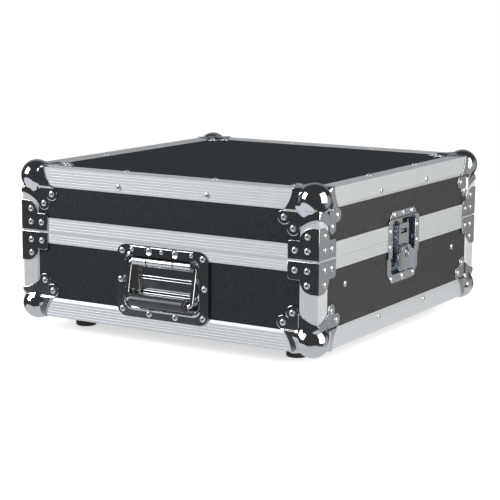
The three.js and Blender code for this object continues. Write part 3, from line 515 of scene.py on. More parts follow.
def brace_outline(by):
    arm, rise = BRACE_ARM - by, BRACE_RISE - by
    width, reach = BRACE_WIDTH - by, BRACE_REACH - by
    right = [(arm, BRACE_SEAM_GAP + by, 0), (arm, rise, BRACE_TIP_ROUND)]
    right += [(width, rise, BRACE_INNER_ROUND), (width, reach, BRACE_ROUND)]
    left = [(-x, y, r) for x, y, r in right[::-1]]
    return rounded(right + left, steps=8)


def clamped(value):
    return min(max(value, 0), 1)


def bent(s, level):
    """Place of a point of the flat sheet at s from the bend, on the quarter arc or a flat wing."""
    flat = OVERLAY_FACE - BEND_HALF
    radius = BEND_HALF + level - OVERLAY_FACE
    angle = clamped(0.5 + s / BEND_REACH / 2) * math.pi / 2
    a = flat + radius * math.cos(angle) - max(s - BEND_REACH, 0)
    b = flat + radius * math.sin(angle) - max(-s - BEND_REACH, 0)
    return a, b


def brace(part, up, corner, sx, sy):
    rings = [[(x, y, OVERLAY_BACK) for x, y in brace_outline(0)]]
    for by, down in SOFT_EDGE:
        rings.append([(x, y, OVERLAY_FACE - down) for x, y in brace_outline(by)])
    flat = loft(bmesh.new(), rings, Matrix.Identity(4))
    for k in range(-BEND_CUTS, BEND_CUTS + 1):
        bisect(flat, (BEND_REACH * k / BEND_CUTS, 0, 0), X)
    bmesh.ops.triangulate(flat, faces=flat.faces)
    for vertex in flat.verts:
        a, b = bent(vertex.co.x, vertex.co.z)
        place = Vector((sx * (HALF_WIDTH + a), sy * (HALF_DEPTH + b), SEAM + up * vertex.co.y))
        vertex.co = CASE @ place
    name = f"{part}_upright_{corner}"
    piece(f"{part}_brace_{corner}", flat, CHROME, part, [name], sharp=50)
    if up > 0:
        ends = SEAM + LID_RIM_LEG + UPRIGHT_GAP, HEIGHT - SETBACK
    else:
        ends = SETBACK, SEAM - BASE_RIM_LEG - UPRIGHT_GAP
    place = (sx * HALF_WIDTH, sy * HALF_DEPTH, sum(ends) / 2)
    bm = bar(angle_section(), (-sx, 0, 0), (0, -sy, 0), place, ends[1] - ends[0])
    extruded(f"{part}_upright_extrusion_{corner}", bm, part)


# Ball corner as a field, negative inside the pressed sheet. Places are depths behind the case's faces.
CELL = 0.75
FIELD_LOW = -9.6
FIELD_HIGH = 69.0
RIM_ROUND = 0.8
PLATE_REACH = 4
LOBE_BLEND = 1.5
SIDE_BLEND = 3
CORE_BLEND = 2
FLARE_POWER = 1.8
FLARE_SLOPE = 2
SIDE_SCALE = 0.75
SLOPE_STEP = 0.04
SLOPE_FLOOR = 0.2
NORMAL_STEP = 0.5
MOVE_SHARE = 0.8
HIDDEN_SHARE = 0.75


def between(ends, share):
    return ends[0] + (ends[1] - ends[0]) * share


def turns(p):
    return [(p[i], p[(i + 1) % 3], p[(i + 2) % 3]) for i in range(3)]


def smooth_max(a, b, k):
    h = np.clip(0.5 + 0.5 * (a - b) / k, 0, 1)
    return b * (1 - h) + a * h + k * h * (1 - h)


def smooth_min(a, b, k):
    return -smooth_max(-a, -b, k)


def step_share(value, start, end):
    t = np.clip((value - start) / (end - start), 0, 1)
    return t * t * (3 - 2 * t)


def plate_edge(a, b):
    """Outline of one plate, over zero outside. A waist by the edge flares to two lobes round the rivets."""
    (far, near), _ = CORNER_RIVETS
    first, second = (np.hypot(a - u, b - v) - LOBE_RADIUS for u, v in CORNER_RIVETS)
    lobes = smooth_min(first, second, LOBE_BLEND)
    limit = near - LOBE_RADIUS
    flare = far - EDGE_REACH

    def side(p, q):
        share = np.clip(q / limit, 0, 1)
        beyond = np.maximum(q - limit, 0)
        return (p - EDGE_REACH - flare * share ** FLARE_POWER - beyond * FLARE_SLOPE) * SIDE_SCALE

    core = smooth_max(side(a, b), side(b, a), SIDE_BLEND)
    over = smooth_max(core, (a + b - far - near) / math.sqrt(2), CORE_BLEND)
    return np.minimum(lobes, over)


def corner_skin(p):
    """Outer skin: three plates with rounded edges, joggled down at the lobes, and the ball."""
    steps = [step_share(depth, *ends) for depth, ends in zip(p, PLATE_STEPS)]
    faces = []
    for depth, (_, first, second) in zip(p, turns(steps)):
        faces.append(-depth - OVERLAY_FACE + (OVERLAY_FACE - LOBE_FACE) * np.minimum(first, second))
    box = (NOSE_CUT - sum(p)) / math.sqrt(3)
    for (_, _, depth), (first, second, _) in zip(turns(p), turns(faces)):
        edge = smooth_max(first, second, between(EDGE_ROUNDS, step_share(depth, *EDGE_NARROWS)))
        box = np.maximum(box, edge)
    ball = np.sqrt(sum((q - BALL_INSET) ** 2 for q in p)) - BALL_RADIUS
    middle = np.sort(np.stack(p), axis=0)[1]
    return smooth_min(box, ball, between(BALL_BLENDS, step_share(middle, *BLEND_WIDENS)))


def corner_field(p):
    skin = corner_skin(p)
    shell = np.maximum(skin, -skin - SHEET)
    plates = [np.maximum(plate_edge(a, b), depth - PLATE_REACH) for depth, a, b in turns(p)]
    return smooth_max(shell, np.minimum.reduce(plates), RIM_ROUND * 2)


def surface_net(field, low, high, cell):
    """Quads round the places where a field changes sign, with each corner moved onto the surface."""
    axis = np.arange(low, high, cell)
    values = field(np.meshgrid(axis, axis, axis, indexing="ij"))
    sums = np.zeros((*values.shape, 4))
    quads = []
    for along, across, over in turns(np.eye(3, dtype=int)):
        index = np.argwhere(np.diff(values < 0, axis=along.argmax()))
        here, ahead = values[tuple(index.T)], values[tuple((index + along).T)]
        place = index + along * (here / (here - ahead))[:, None]
        ring = []
        for a, b in [(-1, -1), (0, -1), (0, 0), (-1, 0)]:
            cells = tuple((index + across * a + over * b).T)
            np.add.at(sums, cells, np.column_stack([place, np.ones(len(place))]))
            ring.append(np.ravel_multi_index(cells, values.shape))
        ring = np.column_stack(ring)
        ring[here > 0] = ring[here > 0][:, ::-1]
        quads.append(ring)
    quads = np.vstack(quads)
    used, faces = np.unique(quads, return_inverse=True)
    sums = sums.reshape(-1, 4)[used]
    points = sums[:, :3] / sums[:, 3:] * cell + low
    return onto(field, points, cell), faces.reshape(quads.shape)


def gradient(field, points, delta):
    slope = np.empty_like(points)
    for k, step in enumerate(np.eye(3) * delta):
        rise = field(list((points + step).T)) - field(list((points - step).T))
        slope[:, k] = rise / (2 * delta)
    return slope


def onto(field, points, cell):
    """Points moved on to the surface, each by less than a cell."""
    start = points.copy()
    for _ in range(4):
        here = field(list(points.T))
        slope = gradient(field, points, SLOPE_STEP)
        size = np.maximum((slope ** 2).sum(1), SLOPE_FLOOR)
        points = points - slope * (here / size)[:, None]
        points = start + np.clip(points - start, -cell * MOVE_SHARE, cell * MOVE_SHARE)
    return points


def corner_mesh():
    """The pressed sheet without the faces on its back."""
    points, quads = surface_net(corner_field, FIELD_LOW, FIELD_HIGH, CELL)
    centres = points[quads].mean(1)
    quads = quads[corner_skin(list(centres.T)) >= -SHEET * HIDDEN_SHARE]
    used, faces = np.unique(quads, return_inverse=True)
    points = points[used]
    mesh = bpy.data.meshes.new("ball_corner")
    mesh.from_pydata((points * MM).tolist(), [], faces.reshape(quads.shape).tolist())
    mesh.update()
    mesh.materials.append(CHROME)
    mesh.polygons.foreach_set("use_smooth", [True] * len(mesh.polygons))
    normals = gradient(corner_field, points, NORMAL_STEP)
    normals /= np.linalg.norm(normals, axis=1)[:, None]
    mesh.normals_split_custom_set_from_vertices(normals.tolist())
    return mesh


CORNERS = {"front_left": (-1, -1), "front_right": (1, -1), "back_left": (-1, 1), "back_right": (1, 1)}
PARTS = {"base": (-1, 0), "lid": (1, HEIGHT)}


def ball_corners():
    mesh = corner_mesh()
    for part, (sz, level) in PARTS.items():
        for corner, (sx, sy) in CORNERS.items():
            axes = [Vector((-sx, 0, 0)), Vector((0, -sy, 0)), Vector((0, 0, -sz))]
            if axes[0].cross(axes[1]).dot(axes[2]) < 0:
                axes[0], axes[1] = axes[1], axes[0]
            place = CASE @ Vector((sx * HALF_WIDTH, sy * HALF_DEPTH, level))
            obj = add_object(f"{part}_corner_{corner}", mesh)
            obj.matrix_world = from_axes(axes, place)
            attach(obj, part)
            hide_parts(f"{part}_ball_corner_{corner}")


# Rivets: one object for each body, with a head at each place
def rivet_heads(name, body, places):
    bm = bmesh.new()
    for matrix, u, v, level, scale in places:
        local = matrix @ Matrix.Translation((u, v, level)) @ Matrix.Diagonal((scale, scale, scale, 1))
        start = len(bm.faces)
        lathe(bm, RIVET_PROFILE, local, RIVET_SIDES)
        bm.faces.ensure_lookup_table()
        # The pit's faces take the near-black: painted shade in the hole.
        for face in bm.faces[start + RIVET_PIT * RIVET_SIDES:]:
            face.material_index = 1
    obj = piece(name, bm, RIVET, body, sharp=50)
    obj.data.materials.append(SHADE_BLACK)


def mirrored(matrix, pairs, level, scale=1.0):
    places = []
    for u, v in pairs:
        for sign in ((-1, 1) if u else (1,)):
            places.append((matrix, sign * u, v, level, scale))
    return places


def body_rivets(part):
    sz, level = PARTS[part]
    up = -sz
    places = []
    for side in SIDES:
        half, _ = half_sizes(side)
        corner = [(half - a, level + up * b) for a, b in CORNER_RIVETS]
        places += mirrored(FACES[side], corner, LOBE_FACE)
        corner = [(half - a, SEAM + sz * b) for a, b in BRACE_RIVETS]
        places += mirrored(FACES[side], corner, OVERLAY_FACE)
        if part == "lid" or side != "front":
            leg = [(LEG_RIVET_OFFSET, level + up * LEG_RIVET_INSET)]
            places += mirrored(FACES[side], leg, 0)
    flat = FACES["bottom" if part == "base" else "top"]
    for sign in (-1, 1):
        for a, b in CORNER_RIVETS:
            places += mirrored(flat, [(HALF_WIDTH - a, sign * (HALF_DEPTH - b))], LOBE_FACE)
        legs = [(LEG_RIVET_OFFSET, sign * (HALF_DEPTH - LEG_RIVET_INSET))]
        legs.append((HALF_WIDTH - LEG_RIVET_INSET, sign * LEG_RIVET_OFFSET))
        places += mirrored(flat, legs, 0)
    if part == "base":
        for side in ("left", "right"):
            places += mirrored(FACES[side], [RAIL_RIVET], -BOARD_INSET)
    rivet_heads(f"{part}_rivets", part, places)


# Pressed dishes. A box is left, right, low and high. Slopes are the floor's insets at side, bottom and top.
DISH_STEPS = 8
DISH_SOFT = 0.12


def box_ring(box, radius, steps, chamfered=False):
    left, right, low, high = box
    centres = [(right - radius, high - radius), (left + radius, high - radius)]
    centres += [(left + radius, low + radius), (right - radius, low + radius)]
    ring = []
    for quarter, (x, y) in enumerate(centres):
        start = quarter * math.pi / 2
        c, s = math.cos(start), math.sin(start)
        for i in range(steps + 1):
            share = i / steps
            along, over = math.cos(share * math.pi / 2), math.sin(share * math.pi / 2)
            if chamfered:
                along, over = 1 - share, share
            ring.append((x + radius * (c * along - s * over), y + radius * (s * along + c * over)))
    return ring


def grown(box, by):
    return inset(box, (-by, -by, -by), 1)


def inset(box, slopes, share):
    left, right, low, high = box
    side, bottom, top = slopes
    return left + side * share, right - side * share, low + bottom * share, high - top * share


def smooth_profile(shares, steps):
    """Points on a smooth curve through pairs of shares."""
    points = [np.array(pair) for pair in (shares[0], *shares, shares[-1])]
    curve = []
    for p0, p1, p2, p3 in zip(points, points[1:], points[2:], points[3:]):
        for k in range(steps):
            t = k / steps
            square = (2 * p0 - 5 * p1 + 4 * p2 - p3) * t * t
            cube = (3 * p1 - p0 - 3 * p2 + p3) * t ** 3
            curve.append(0.5 * (2 * p1 + (p2 - p0) * t + square + cube))
    curve.append(points[-1])
    return curve


def dish(flange, flange_round, opening, opening_round, slopes, depth, shares, lip, bead=(), chamfered=False):
    """Rings of a pressed sheet, from the floor's back over the outer edge to the floor's face."""
    profile = [(grow, 0.0, -up) for grow, up in bead]
    profile += [(lip * grow, 0.0, lip * down) for grow, down in LIP_SHARES]
    start = lip * LIP_SHARES[-1][1]
    for share, down in smooth_profile(shares, steps=5):
        profile.append((0.0, share, start + down * (depth - start)))

    def skin(thick, level):
        rings = []
        for grow, share, down in profile:
            box = grown(inset(opening, slopes, share), grow + thick)
            ring = box_ring(box, opening_round + grow + thick, DISH_STEPS)
            rings.append([(x, y, level - down) for x, y in ring])
        return rings

    edge = []
    for inwards, level in [(0, OVERLAY_BACK), (0, OVERLAY_FACE - DISH_SOFT), (DISH_SOFT, OVERLAY_FACE)]:
        ring = box_ring(grown(flange, -inwards), flange_round, DISH_STEPS, chamfered)
        edge.append([(x, y, level) for x, y in ring])
    return skin(SHEET, OVERLAY_BACK)[::-1] + edge + skin(0, OVERLAY_FACE)


LIP_SHARES = [(1.05, 0), (0.96, 0.02), (0.85, 0.07), (0.15, 0.46), (0.05, 0.54)]
HANDLE_DISH = {
    "flange": (-81, 81, 18.9, 127.8),
    "flange_round": 16,
    "opening": (-63.5, 63.5, 34.4, 112.9),
    "opening_round": 10,
    "slopes": (12, 23, 2),
    "depth": 12.7,
    "shares": [(0, 0), (0.08, 0.35), (0.3, 0.6), (0.84, 0.93), (1, 1)],
    "lip": 1.5,
    "bead": [(4.9, 0), (4.7, 0.03), (4.4, 0.14), (2.8, 0.96), (2.5, 1.05), (2.1, 1), (1.7, 0.4)],
}
LEDGES = [((-50.5, 50.5, 50, 81), -9.2), ((-50.5, 50.5, 42, 59), -8.2)]
LEDGE_ROUND = 5
LEDGE_SINK = 0.4
LEDGE_EDGE = [(0, 1.6), (0.05, 0.95), (0.3, 0.82), (4, 0.8), (4.06, 0.12), (4.2, 0.04), (4.4, 0)]
HANDLE_RIVETS = [(71.2, 117.7), (71.2, 29.5), (74, 73.8), (23.1, 121.3), (23.1, 25.9)]


def handle_dish():
    bm = loft(bmesh.new(), dish(**HANDLE_DISH), FRONT)
    piece("handle_dish_pressing", bm, DISH_CHROME, "base", ["handle_dish"], sharp=16)
    bm = bmesh.new()
    foot = OVERLAY_FACE - HANDLE_DISH["depth"] - LEDGE_SINK
    for box, face in LEDGES:
        plate(bm, box_ring(box, LEDGE_ROUND, steps=4), foot, face, LEDGE_EDGE, FRONT)
    piece("handle_dish_ledges", bm, PAN_CHROME, "base", sharp=16)
    places = mirrored(FRONT, HANDLE_RIVETS, OVERLAY_FACE)
    rivet_heads("handle_dish_rivets", "base", places)


HINGE_HEIGHT = 104
HINGE_LEVEL = -1
HINGE = FRONT @ Matrix.Translation((0, HINGE_HEIGHT, HINGE_LEVEL))
BARREL_RADIUS = 7.2
BARRELS = [(-52, -26.4), (-25, 20.3), (21.7, 52)]
BARREL_BORE = 3.7
BARREL_EDGE = [(0.7, 0), (0.2, 0.2), (0, 0.7)]
# Black rings that fill the gaps between the barrels: painted shade.
SHADE_RING_RADIUS = 6.4
SHADE_RING_BORE = 3.6
BRACKET_HALF = 57
BRACKET_LOW = 112
WEB_HALF = 52
WEB_LOW = 107
BRACKET_TOP = 126.3
BRACKET_RIVETS = [(0, 121), (52.5, 121)]
BRACKET_LEVELS = (1.9, 3.3)
BRACKET_ROUND = 2
SCALLOP = 6.2
SCALLOP_STEPS = 14
BRACKET_EDGE = [(0, 1), (0.05, 0.3), (0.1, 0.2), (0.32, 0.08), (0.5, 0.01), (0.6, 0)]


def bracket_outline():
    """Strip with a tongue down to the barrels and a scallop round two of the dish's rivets."""
    right = [(WEB_HALF, WEB_LOW), (WEB_HALF, BRACKET_LOW), (BRACKET_HALF, BRACKET_LOW)]
    end = [(BRACKET_HALF, BRACKET_LOW, 0), (BRACKET_HALF, BRACKET_TOP, BRACKET_ROUND), (0, BRACKET_TOP, 0)]
    right += rounded(end, steps=3)[1:-1]
    rivet_u, rivet_v = HANDLE_RIVETS[3]
    half = math.acos((BRACKET_TOP - rivet_v) / SCALLOP)
    for i in range(SCALLOP_STEPS + 1):
        angle = math.pi / 2 - half - (2 * math.pi - 2 * half) * i / SCALLOP_STEPS
        right.append((rivet_u + SCALLOP * math.cos(angle), rivet_v + SCALLOP * math.sin(angle)))
    return right + [(-x, y) for x, y in right[::-1]]


def handle_bracket():
    low, high = BRACKET_LEVELS
    bm = plate(bmesh.new(), bracket_outline(), low, high, BRACKET_EDGE, FRONT)
    piece("handle_bracket_strip", bm, DISH_CHROME, "base", ["handle_bracket"], sharp=16)
    bm = bmesh.new()
    for start, end in BARRELS:
        lathe(bm, sleeve(BARREL_BORE, BARREL_RADIUS, start, end, BARREL_EDGE), HINGE @ ACROSS, segments=48)
        web = [(start, WEB_LOW), (end, WEB_LOW), (end, BRACKET_LOW), (start, BRACKET_LOW)]
        plate(bm, web, low, high, [(0, 0)], FRONT)
    piece("handle_bracket_barrels", bm, SOFT_CHROME, "base")
    bm = bmesh.new()
    # Black rings in the gaps between the barrels stand for the shade there: painted shade, not parts of the
    # handle.
    for (_, end), (start, _) in zip(BARRELS, BARRELS[1:]):
        lathe(bm, sleeve(SHADE_RING_BORE, SHADE_RING_RADIUS, end, start, [(0, 0)]), HINGE @ ACROSS, segments=32)
    piece("handle_bracket_shade_rings", bm, SHADE_BLACK, "base")
    places = mirrored(FRONT, BRACKET_RIVETS, high, SMALL_RIVET_SCALE)
    rivet_heads("handle_bracket_rivets", "base", places)


BAIL_RADIUS = 3.5
BAIL_HALF = 57.3
BAIL_BEND = 5
GRIP_HEIGHT = 47.6
GRIP_PROUD = 10.6
GRIP_RADIUS = 10
GRIP_HALF = 50
GRIP_BORE = 3.8
GRIP_EDGE = [(3.8, 0), (2.4, 0.4), (1.2, 1.3), (0.4, 2.6), (0, 4.6)]
BAIL_DROP = HINGE_HEIGHT - GRIP_HEIGHT
BAIL_OUT = GRIP_PROUD - HINGE_LEVEL
BAIL_LENGTH = math.hypot(BAIL_DROP, BAIL_OUT)
BAIL_END = 1.5
BAIL_SIDES = 20
BAIL_PLACE = HINGE @ Matrix.Rotation(-math.atan2(BAIL_OUT, BAIL_DROP), 4, "X")


def bail():
    corners = [(BAIL_END, 0, 0), (BAIL_HALF, 0, BAIL_BEND), (BAIL_HALF, -BAIL_LENGTH, BAIL_BEND)]
    path = rounded(corners + [(-x, y, r) for x, y, r in corners[::-1]], steps=8)
    rings = []
    for i, (x, y) in enumerate(path):
        before, after = path[max(i - 1, 0)], path[min(i + 1, len(path) - 1)]
        dx, dy = after[0] - before[0], after[1] - before[1]
        size = math.hypot(dx, dy)
        ring = []
        for k in range(BAIL_SIDES):
            angle = 2 * math.pi * k / BAIL_SIDES
            a, b = BAIL_RADIUS * math.cos(angle), BAIL_RADIUS * math.sin(angle)
            ring.append((x - dy / size * a, y + dx / size * a, b))
        rings.append(ring)
    bm = loft(bmesh.new(), rings, BAIL_PLACE)
    piece("handle_bail_bar", bm, DISH_CHROME, "handle", ["handle_bail"])


def grip():
    profile = sleeve(GRIP_BORE, GRIP_RADIUS, -GRIP_HALF, GRIP_HALF, GRIP_EDGE)
    place = BAIL_PLACE @ Matrix.Translation((0, -BAIL_LENGTH, 0)) @ ACROSS
    bm = lathe(bmesh.new(), profile, place, segments=40)
    piece("handle_grip_sleeve", bm, GRIP_RUBBER, "handle", ["handle_grip"])


# Latches. Heights are over the seam.
LATCH_DISH = {
    "flange": (-52.5, 52.5, -68.2, 41.5),
    "flange_round": 16,
    "opening": (-39, 39, -55, 28.8),
    "opening_round": 7,
    "slopes": (2, 2, 1.2),
    "depth": 12.5,
    "shares": [(0, 0), (0.25, 0.5), (0.5, 0.92), (1, 1)],
    "lip": 0.35,
    "chamfered": True,
}
# Dish faces this far under the flange's face take the dimmer chrome: painted shade.
SHADE_DROP = 0.5
JOGGLE = 1.8
JOGGLE_REACH = 5
JOGGLE_STEPS = [(30.5, 31.7), (-29, -29.5)]
RAISED_RIVETS = {"base": [(46, -11.7)], "lid": [(46, 12.5)]}
LOWERED_RIVETS = {"base": [(38, -61.4), (0, -61.4)], "lid": [(30, 36), (0, 36)]}
SEAM_HALF_GAP = 0.3
PLATE_LEVELS = (-10.6, -9)
CHANNEL_PLATE = (-24, 24, -46, -4)
CHANNEL_RIVETS = [(21.6, -41), (21.6, -9)]
CHANNEL_RIVET_SCALE = 0.5
CHEEK = (17.6, 19.4, -5.2)
KEEPER_PLATE = (-15, 15, 3, 25)
KEEPER_LIP = (-10, 10, 6.6, 9.6)
KEEPER_LEVELS = (-10.6, -9.2, -1.6)
PLATE_ROUND = 2
BLOCK_ROUND = 0.4
THIN_EDGE = [(0, 0.3), (0.1, 0.1), (0.3, 0)]


def on_latch(side):
    return FACES[side] @ Matrix.Translation((0, SEAM, 0))


def joggled(height, level):
    """The flange steps down on to the boards beyond the rims. The dish's floor stays."""
    share = max(clamped((height - start) / (end - start)) for start, end in JOGGLE_STEPS)
    return level - JOGGLE * share * clamped(level / JOGGLE_REACH + 1)


def latch_half(side, part, sign):
    bm = loft(bmesh.new(), dish(**LATCH_DISH), Matrix.Identity(4))
    for height in sum(JOGGLE_STEPS, ()):
        bisect(bm, (0, height, 0), Y)
    for vertex in bm.verts:
        vertex.co.z = joggled(vertex.co.y, vertex.co.z)
    left, right, low, high = LATCH_DISH["opening"]
    for face in bm.faces:
        x, y, z = face.calc_center_median()
        # Faces sunk in the opening get the dimmer chrome: painted shade in the recess.
        in_shade = left < x < right and low < y < high and z < OVERLAY_FACE - SHADE_DROP
        # The joggle's risers take the near-black: a painted shadow line.
        riser = any(min(step) < y < max(step) for step in JOGGLE_STEPS)
        face.material_index = 2 if riser else int(in_shade)
    halved = bisect(bm, (0, sign * SEAM_HALF_GAP, 0), (0, -sign, 0), clear_outer=True)
    edges = [item for item in halved["geom_cut"] if isinstance(item, bmesh.types.BMEdge)]
    bmesh.ops.contextual_create(bm, geom=edges)
    bmesh.ops.transform(bm, matrix=on_latch(side), verts=bm.verts)
    replaced = {"base": f"{side}_latch_dish", "lid": f"{side}_keeper_dish"}[part]
    name = f"{side}_{part}_latch_pressing"
    pressing = piece(name, bm, LATCH_CHROME, part, [replaced], sharp=20)
    for material in (PAINTED_SHADE_CHROME, SHADE_BLACK):
        pressing.data.materials.append(material)
    places = mirrored(on_latch(side), RAISED_RIVETS[part], OVERLAY_FACE)
    places += mirrored(on_latch(side), LOWERED_RIVETS[part], LOBE_FACE)
    rivet_heads(f"{side}_{part}_latch_rivets", part, places)


def block(bm, box, levels, matrix, round_by=BLOCK_ROUND):
    return plate(bm, box_ring(box, round_by, steps=2), *levels, THIN_EDGE, matrix)


def latch_channel(side):
    place = on_latch(side)
    bm = block(bmesh.new(), CHANNEL_PLATE, PLATE_LEVELS, place, PLATE_ROUND)
    inner, outer, top = CHEEK
    for sign in (-1, 1):
        across = sorted((sign * inner, sign * outer))
        block(bm, (*across, *CHANNEL_PLATE[2:]), (PLATE_LEVELS[0], top), place)
    # The channel plate and cheeks take the dimmer chrome: painted shade in the dish.
    piece(f"{side}_latch_channel", bm, PAINTED_SHADE_CHROME, "base")
    places = mirrored(place, CHANNEL_RIVETS, PLATE_LEVELS[1], CHANNEL_RIVET_SCALE)
    rivet_heads(f"{side}_channel_rivets", "base", places)
    low, face, top = KEEPER_LEVELS
    bm = block(bmesh.new(), KEEPER_PLATE, (low, face), place, PLATE_ROUND)
    block(bm, KEEPER_LIP, (low, top), place)
    piece(f"{side}_keeper_plate", bm, LATCH_CHROME, "lid")


# Wing
WING_LEVELS = (4.5, 6.3)
WING_SHOULDER = (13.6, -14)
WING_RIGHT = [(16.2, -19.2), (25.6, -22.1), (31.2, -28), (25.6, -46), (20.6, -50.8)]
WING_HOLE = 7
WING_CENTRE = -24
WING_NOTCH = (4.6, -16.6)
WING_CUTS = [8, 12, 16, 20, 24, 28]
WING_LIFT = 0.7
WING_ROUNDS = (1.5, 3)
WING_SOFT = 0.55
HOLE_STEPS = 16
KNUCKLE = (4.6, 11, 2.4, 1.35)
KNUCKLE_EDGE = [(0.4, 0), (0, 0.4)]
PIN_PLACE = (-14, 3.9)


def wing_half(sign):
    notch_half, notch_low = WING_NOTCH
    points = [(0, WING_CENTRE + WING_HOLE), (0, notch_low), (notch_half, notch_low)]
    corners = [(notch_half, PIN_PLACE[0], 0), (*WING_SHOULDER, WING_ROUNDS[0])]
    corners += [(x, y, WING_ROUNDS[1]) for x, y in WING_RIGHT]
    points += rounded(corners + [(0, WING_RIGHT[-1][1], 0)], steps=4)
    for i in range(HOLE_STEPS):
        angle = math.pi * i / HOLE_STEPS - math.pi / 2
        points.append((WING_HOLE * math.cos(angle), WING_CENTRE + WING_HOLE * math.sin(angle)))
    return [(sign * x, y) for x, y in points][::sign]


def wing(side):
    low, high = WING_LEVELS
    bm = bmesh.new()
    for sign in (-1, 1):
        bm.faces.new([bm.verts.new((x, y, low)) for x, y in wing_half(sign)])
    bmesh.ops.remove_doubles(bm, verts=bm.verts, dist=1e-4)
    thick = bmesh.ops.extrude_face_region(bm, geom=bm.faces[:])
    for item in thick["geom"]:
        if isinstance(item, bmesh.types.BMVert):
            item.co.z = high
    for at in WING_CUTS:
        for sign in (-1, 1):
            bisect(bm, (sign * at, 0, 0), X)
    for vertex in bm.verts:
        share = max(abs(vertex.co.x) - WING_CUTS[0], 0) / (WING_RIGHT[2][0] - WING_CUTS[0])
        vertex.co.z += WING_LIFT * share ** 2
    bmesh.ops.transform(bm, matrix=on_latch(side), verts=bm.verts)
    body = f"{side}_wing"
    replaced = [f"{side}_latch_wing"]
    piece(body + "_plate", bm, LATCH_CHROME, body, replaced, 35, WING_SOFT * MM)
    start, end, outer, inner = KNUCKLE
    place = on_latch(side) @ Matrix.Translation((0, *PIN_PLACE)) @ ACROSS
    bm = bmesh.new()
    for low, high in ((start, end), (-end, -start)):
        lathe(bm, sleeve(inner, outer, low, high, KNUCKLE_EDGE), place, segments=24)
    piece(body + "_knuckles", bm, SOFT_CHROME, body)


# Top of the spindle, domed, in the wing's hole
BOSS_PROFILE = [(4.4, 3.8), (5.2, 3.8), (5.2, 6.2), (4.9, 6.7), (4.2, 7), (3.3, 7), (3, 6.6), (0, 6.6)]


def boss(side):
    place = on_latch(side) @ Matrix.Translation((0, WING_CENTRE, 0))
    bm = lathe(bmesh.new(), BOSS_PROFILE, place, segments=32)
    piece(f"{side}_spindle_boss", bm, CHROME, f"{side}_spindle", sharp=50)


# Small domed rivets on the hook's outer sides
HOOK_HALF = 17.2
HOOK_RIVETS = [(15.6, -3.4), (9.2, -4.6), (0, -5.2)]
HOOK_RIVET_SCALE = 0.42


def hook_rivets(side):
    places = []
    for sign in (-1, 1):
        turn = Matrix.Rotation(sign * math.pi / 2, 4, "Y")
        for height, level in HOOK_RIVETS:
            at = Matrix.Translation((sign * HOOK_HALF, height, level)) @ turn
            places.append((on_latch(side) @ at, 0, 0, 0, HOOK_RIVET_SCALE))
    rivet_heads(f"{side}_hook_rivets", f"{side}_hook", places)


def latches():
    for side in ("left", "right"):
        latch_half(side, "base", -1)
        latch_half(side, "lid", 1)
        latch_channel(side)
        wing(side)
        boss(side)
        hook_rivets(side)


# Feet
FOOT_INSETS = (69.5, 66.5)
FOOT_PROFILE = [(0, -21.2), (3.2, -21.2), (4.4, -23), (14.2, -23), (15.3, -22.5), (16.1, -21.2),
                (16.8, -2), (16.8, 1.5), (0, 1.5)]


def feet():
    inset_x, inset_y = FOOT_INSETS
    for corner, (sx, sy) in CORNERS.items():
        place = CASE @ Matrix.Translation((sx * (HALF_WIDTH - inset_x), sy * (HALF_DEPTH - inset_y), 0))
        bm = lathe(bmesh.new(), FOOT_PROFILE, place, segments=40)
        piece(f"rubber_foot_{corner}", bm, FOOT_RUBBER, "base", [f"foot_{corner}"])


# Foam pad, with a rounded edge
FOAM_CROWN = 2
FOAM_ROUND = 12
FOAM_EDGE = [(4, 0), (0, 0.15), (0, 0.85), (4, 1)]


def foam_pad():
    low, high = (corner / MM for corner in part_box("lid_foam"))
    box = (low.x, high.x, low.y, high.y)
    base = low.z + FOAM_CROWN
    rings = []
    for inwards, share in FOAM_EDGE:
        ring = box_ring(grown(box, -inwards), FOAM_ROUND, steps=5)
        rings.append([(x, y, base + (high.z - base) * share) for x, y in ring])
    bm = loft(bmesh.new(), rings, Matrix.Scale(MM, 4))
    obj = piece("lid_foam_pad", bm, FOAM, "lid", ["lid_foam"], sharp=60)


# Finishes of the frame's own nodes
NODE_SOFT = 0.5
FINISHES = {
    "laminate": LAMINATE, "extrusion": EXTRUSION, "upright": EXTRUSION, "corner_plating": CHROME,
    "dish_plating": DISH_CHROME, "bail_plating": DISH_CHROME, "wing_plating": LATCH_CHROME,
    "latch_zinc": LATCH_CHROME, "rail_steel": ZINC, "spring_steel": ZINC,
    "foot_rubber": FOOT_RUBBER, "grip_rubber": GRIP_RUBBER, "foam": FOAM,
}


def finish_nodes():
    slots = {row["node"]: row["material_slot"] for row in frame["record"]["subparts"]}
    for name, obj in nodes.items():
        obj.data.materials.clear()
        # The left and right boards get the lighter laminate copy: painted light.
        lit_side_board = name.endswith(("left_board", "right_board"))
        obj.data.materials.append(LIT_SIDE_LAMINATE if lit_side_board else FINISHES[slots[name]])
    for side in ("left", "right"):
        for name in (f"{side}_latch_hook", f"{side}_latch_spindle"):
            round_edges(nodes[name], NODE_SOFT * MM, angle=30)
            weigh_normals(nodes[name])


edge_angles("base", 0, 1)
edge_angles("lid", HEIGHT, -1)
for end in ("front", "back"):
    rim("base", end, base_rim_section(), SEAM - RIM_HALF_GAP)
    rim("lid", end, lid_rim_section(), SEAM + RIM_HALF_GAP)
for part, (sz, _) in PARTS.items():
    for corner, (sx, sy) in CORNERS.items():
        brace(part, sz, corner, sx, sy)
    body_rivets(part)
ball_corners()
handle_dish()
handle_bracket()
bail()
grip()
latches()
feet()
foam_pad()
finish_nodes()


# Studio
WHITE = (1, 1, 1)
ROOM_COLOR = (0.93, 1, 1.06)
FLOOR_HALF = 1.6
FLOOR_LIFT = 0.6
CARD_HALF = 0.6
CARD_DROP = 0.0005
CARD_FADE = (0.05, 0.12)
CARD_COLOR = (0.95, 0.98, 1.03)
CARD_GLOW = 0.64

